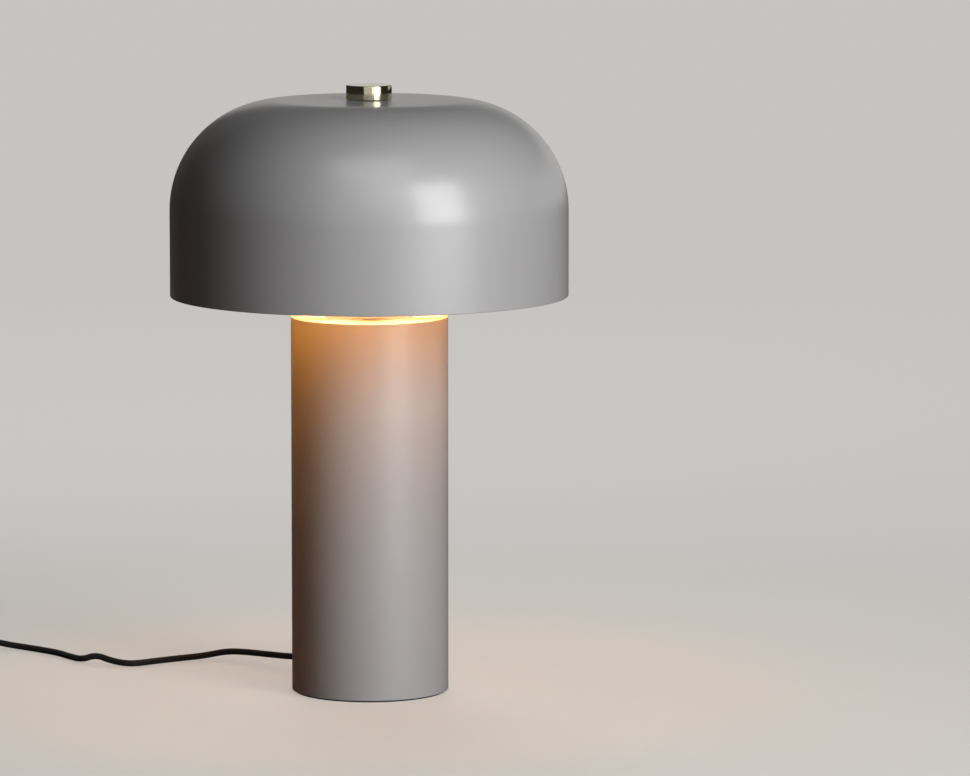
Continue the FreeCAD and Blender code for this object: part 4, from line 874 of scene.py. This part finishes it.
world = bpy.data.worlds.new("studio")
world.use_nodes = True
world.node_tree.nodes.clear()
scene.world = world
rays = add(world.node_tree, "ShaderNodeLightPath").outputs
unseen = add(world.node_tree, "ShaderNodeMapRange",
             {"Value": rays["Is Glossy Ray"], "To Min": WORLD_AMBIENT, "To Max": WORLD_MIRROR})
brightness = add(world.node_tree, "ShaderNodeMapRange",
                 {"Value": rays["Is Camera Ray"], "To Min": unseen.outputs[0], "To Max": GLOW_FAR})
sky = add(world.node_tree, "ShaderNodeBackground",
          {"Color": linear(FLOOR_PALE), "Strength": brightness.outputs[0]})
add(world.node_tree, "ShaderNodeOutputWorld", {"Surface": sky.outputs[0]})
print("world for the camera", GLOW_FAR, "and for mirrors", WORLD_MIRROR)

# %% [markdown]
# ## The dark curtain
#
# Polished brass shows its surroundings more than its own colour, and the edges of satin paint do too.
# Photographers hang black cloth on the camera's side and overhead to give such surfaces their dark,
# crisp contrast. The curtain here is a part of a cylinder, the ceiling a disc, and only mirror-like
# reflections can see them, so they take no light from the floor and stay out of the picture. A faint
# painted glow on the cloth keeps the darkest reflections above black.

# %% Hang the curtain and the ceiling
CURTAIN_RADIUS, CEILING_RADIUS, CEILING_HEIGHT = 3.6, 9.0, 2.8
CURTAIN_START, CURTAIN_END = math.radians(-170), math.radians(112)
CURTAIN_STEPS = 48
# The cloth's faint glow is painted light, and only reflections show it.
CLOTH_GLOW_TINT, CLOTH_GLOW_STRENGTH = "#d0c4b4", 0.05


def bearing(azimuth):
    """Level unit arrows at bearings in radians: 0 in front of the lamp and a quarter turn at its right."""
    return np.stack([np.sin(azimuth), -np.cos(azimuth), np.zeros_like(azimuth)], axis=-1)


hem = CURTAIN_RADIUS * bearing(np.linspace(CURTAIN_START, CURTAIN_END, CURTAIN_STEPS))
curtain = skin("dark_curtain", np.stack([hem, hem + (0, 0, CEILING_HEIGHT)]))
ceiling = turned("dark_ceiling", np.array([(0, CEILING_HEIGHT), (CEILING_RADIUS, CEILING_HEIGHT)]))
# Black cloth: it swallows nearly all light and leaves reflections dark, but for its faint painted glow.
black_cloth = grained("black_cloth", "#050505", "#0b0b0b", 0.9, 8.0, 0.5,
                      **{"Emission Color": linear(CLOTH_GLOW_TINT), "Emission Strength": CLOTH_GLOW_STRENGTH})
for cloth in (curtain, ceiling):
    cloth.data.materials.append(black_cloth)
    cloth.visible_camera = False
    cloth.visible_diffuse = False
    cloth.visible_shadow = False
print("curtain", len(curtain.data.polygons), "faces, ceiling", len(ceiling.data.polygons))

# %% [markdown]
# ## The lamps
#
# One tall soft light stands at the right in front, like a window. It draws the soft square highlight on
# the shoulder of the shade and leaves the left side dark. A weaker light below it keeps the change from
# light to dark gentle, and a high one opens up the shoulder. Two faint cards in front are seen only in
# reflections: the lower one draws the pale band in the brass and a sheen down the middle of the shade,
# the higher one a sheen on the shoulder. A light behind, which no reflection shows, keeps the back
# readable from other sides.

# %% Hang the lamps
AIM = np.array([0.0, 0.0, 0.30])


def soft_lamp(name, azimuth, elevation, distance, width, height, power):
    """An area lamp at a bearing in degrees, 0 in front and 90 at the right, turned to face the object."""
    turn, rise = math.radians(azimuth), math.radians(elevation)
    light = bpy.data.lights.new(name, "AREA")
    light.shape = "RECTANGLE"
    light.size, light.size_y = width, height
    light.energy = power
    lamp = bpy.data.objects.new(name, light)
    lamp.location = AIM + distance * (math.cos(rise) * bearing(turn) + (0, 0, math.sin(rise)))
    lamp.rotation_euler = (math.pi / 2 - rise, 0, turn)
    scene.collection.objects.link(lamp)
    print(name, power, "W at", azimuth, "degrees round and", elevation, "up")
    return lamp


soft_lamp("window", azimuth=41, elevation=20, distance=2.5, width=1.15, height=1.7, power=47)
soft_lamp("window_low", azimuth=39, elevation=1, distance=2.6, width=2.2, height=1.1, power=14)
soft_lamp("front_high", azimuth=15, elevation=32, distance=2.6, width=1.6, height=1.0, power=5)
low_card = soft_lamp("front_card", azimuth=-3, elevation=16, distance=2.6, width=2.1, height=2.0, power=10)
high_card = soft_lamp("high_card", azimuth=2, elevation=55, distance=2.6, width=1.6, height=1.2, power=12)
for card in (low_card, high_card):
    card.visible_diffuse = False
back_lamp = soft_lamp("back", azimuth=186, elevation=20, distance=3.4, width=2.4, height=1.4, power=75)
back_lamp.visible_glossy = False

# %% [markdown]
# The bulb's own light is a small ball lamp in the middle of the globe, a little smaller than its skin,
# which doesn't shade it.

# %% Switch on the bulb
BULB_TINT, BULB_POWER = "#ffcfa2", 3.3
BULB_SHARE = 0.97

bulb_light = bpy.data.lights.new("bulb_light", "POINT")
bulb_light.energy = BULB_POWER
bulb_light.color = linear(BULB_TINT)[:3]
bulb_light.shadow_soft_size = GLOBE_RADIUS * BULB_SHARE
bulb_lamp = bpy.data.objects.new("bulb_light", bulb_light)
bulb_lamp.location = (0, 0, GLOBE_CENTRE)
scene.collection.objects.link(bulb_lamp)
globe.visible_shadow = False
print("bulb", BULB_POWER, "W")

# %% [markdown]
# ## The view
#
# The Standard view shows colours as they are written.

# %% Set the view
scene.view_settings.view_transform = "Standard"
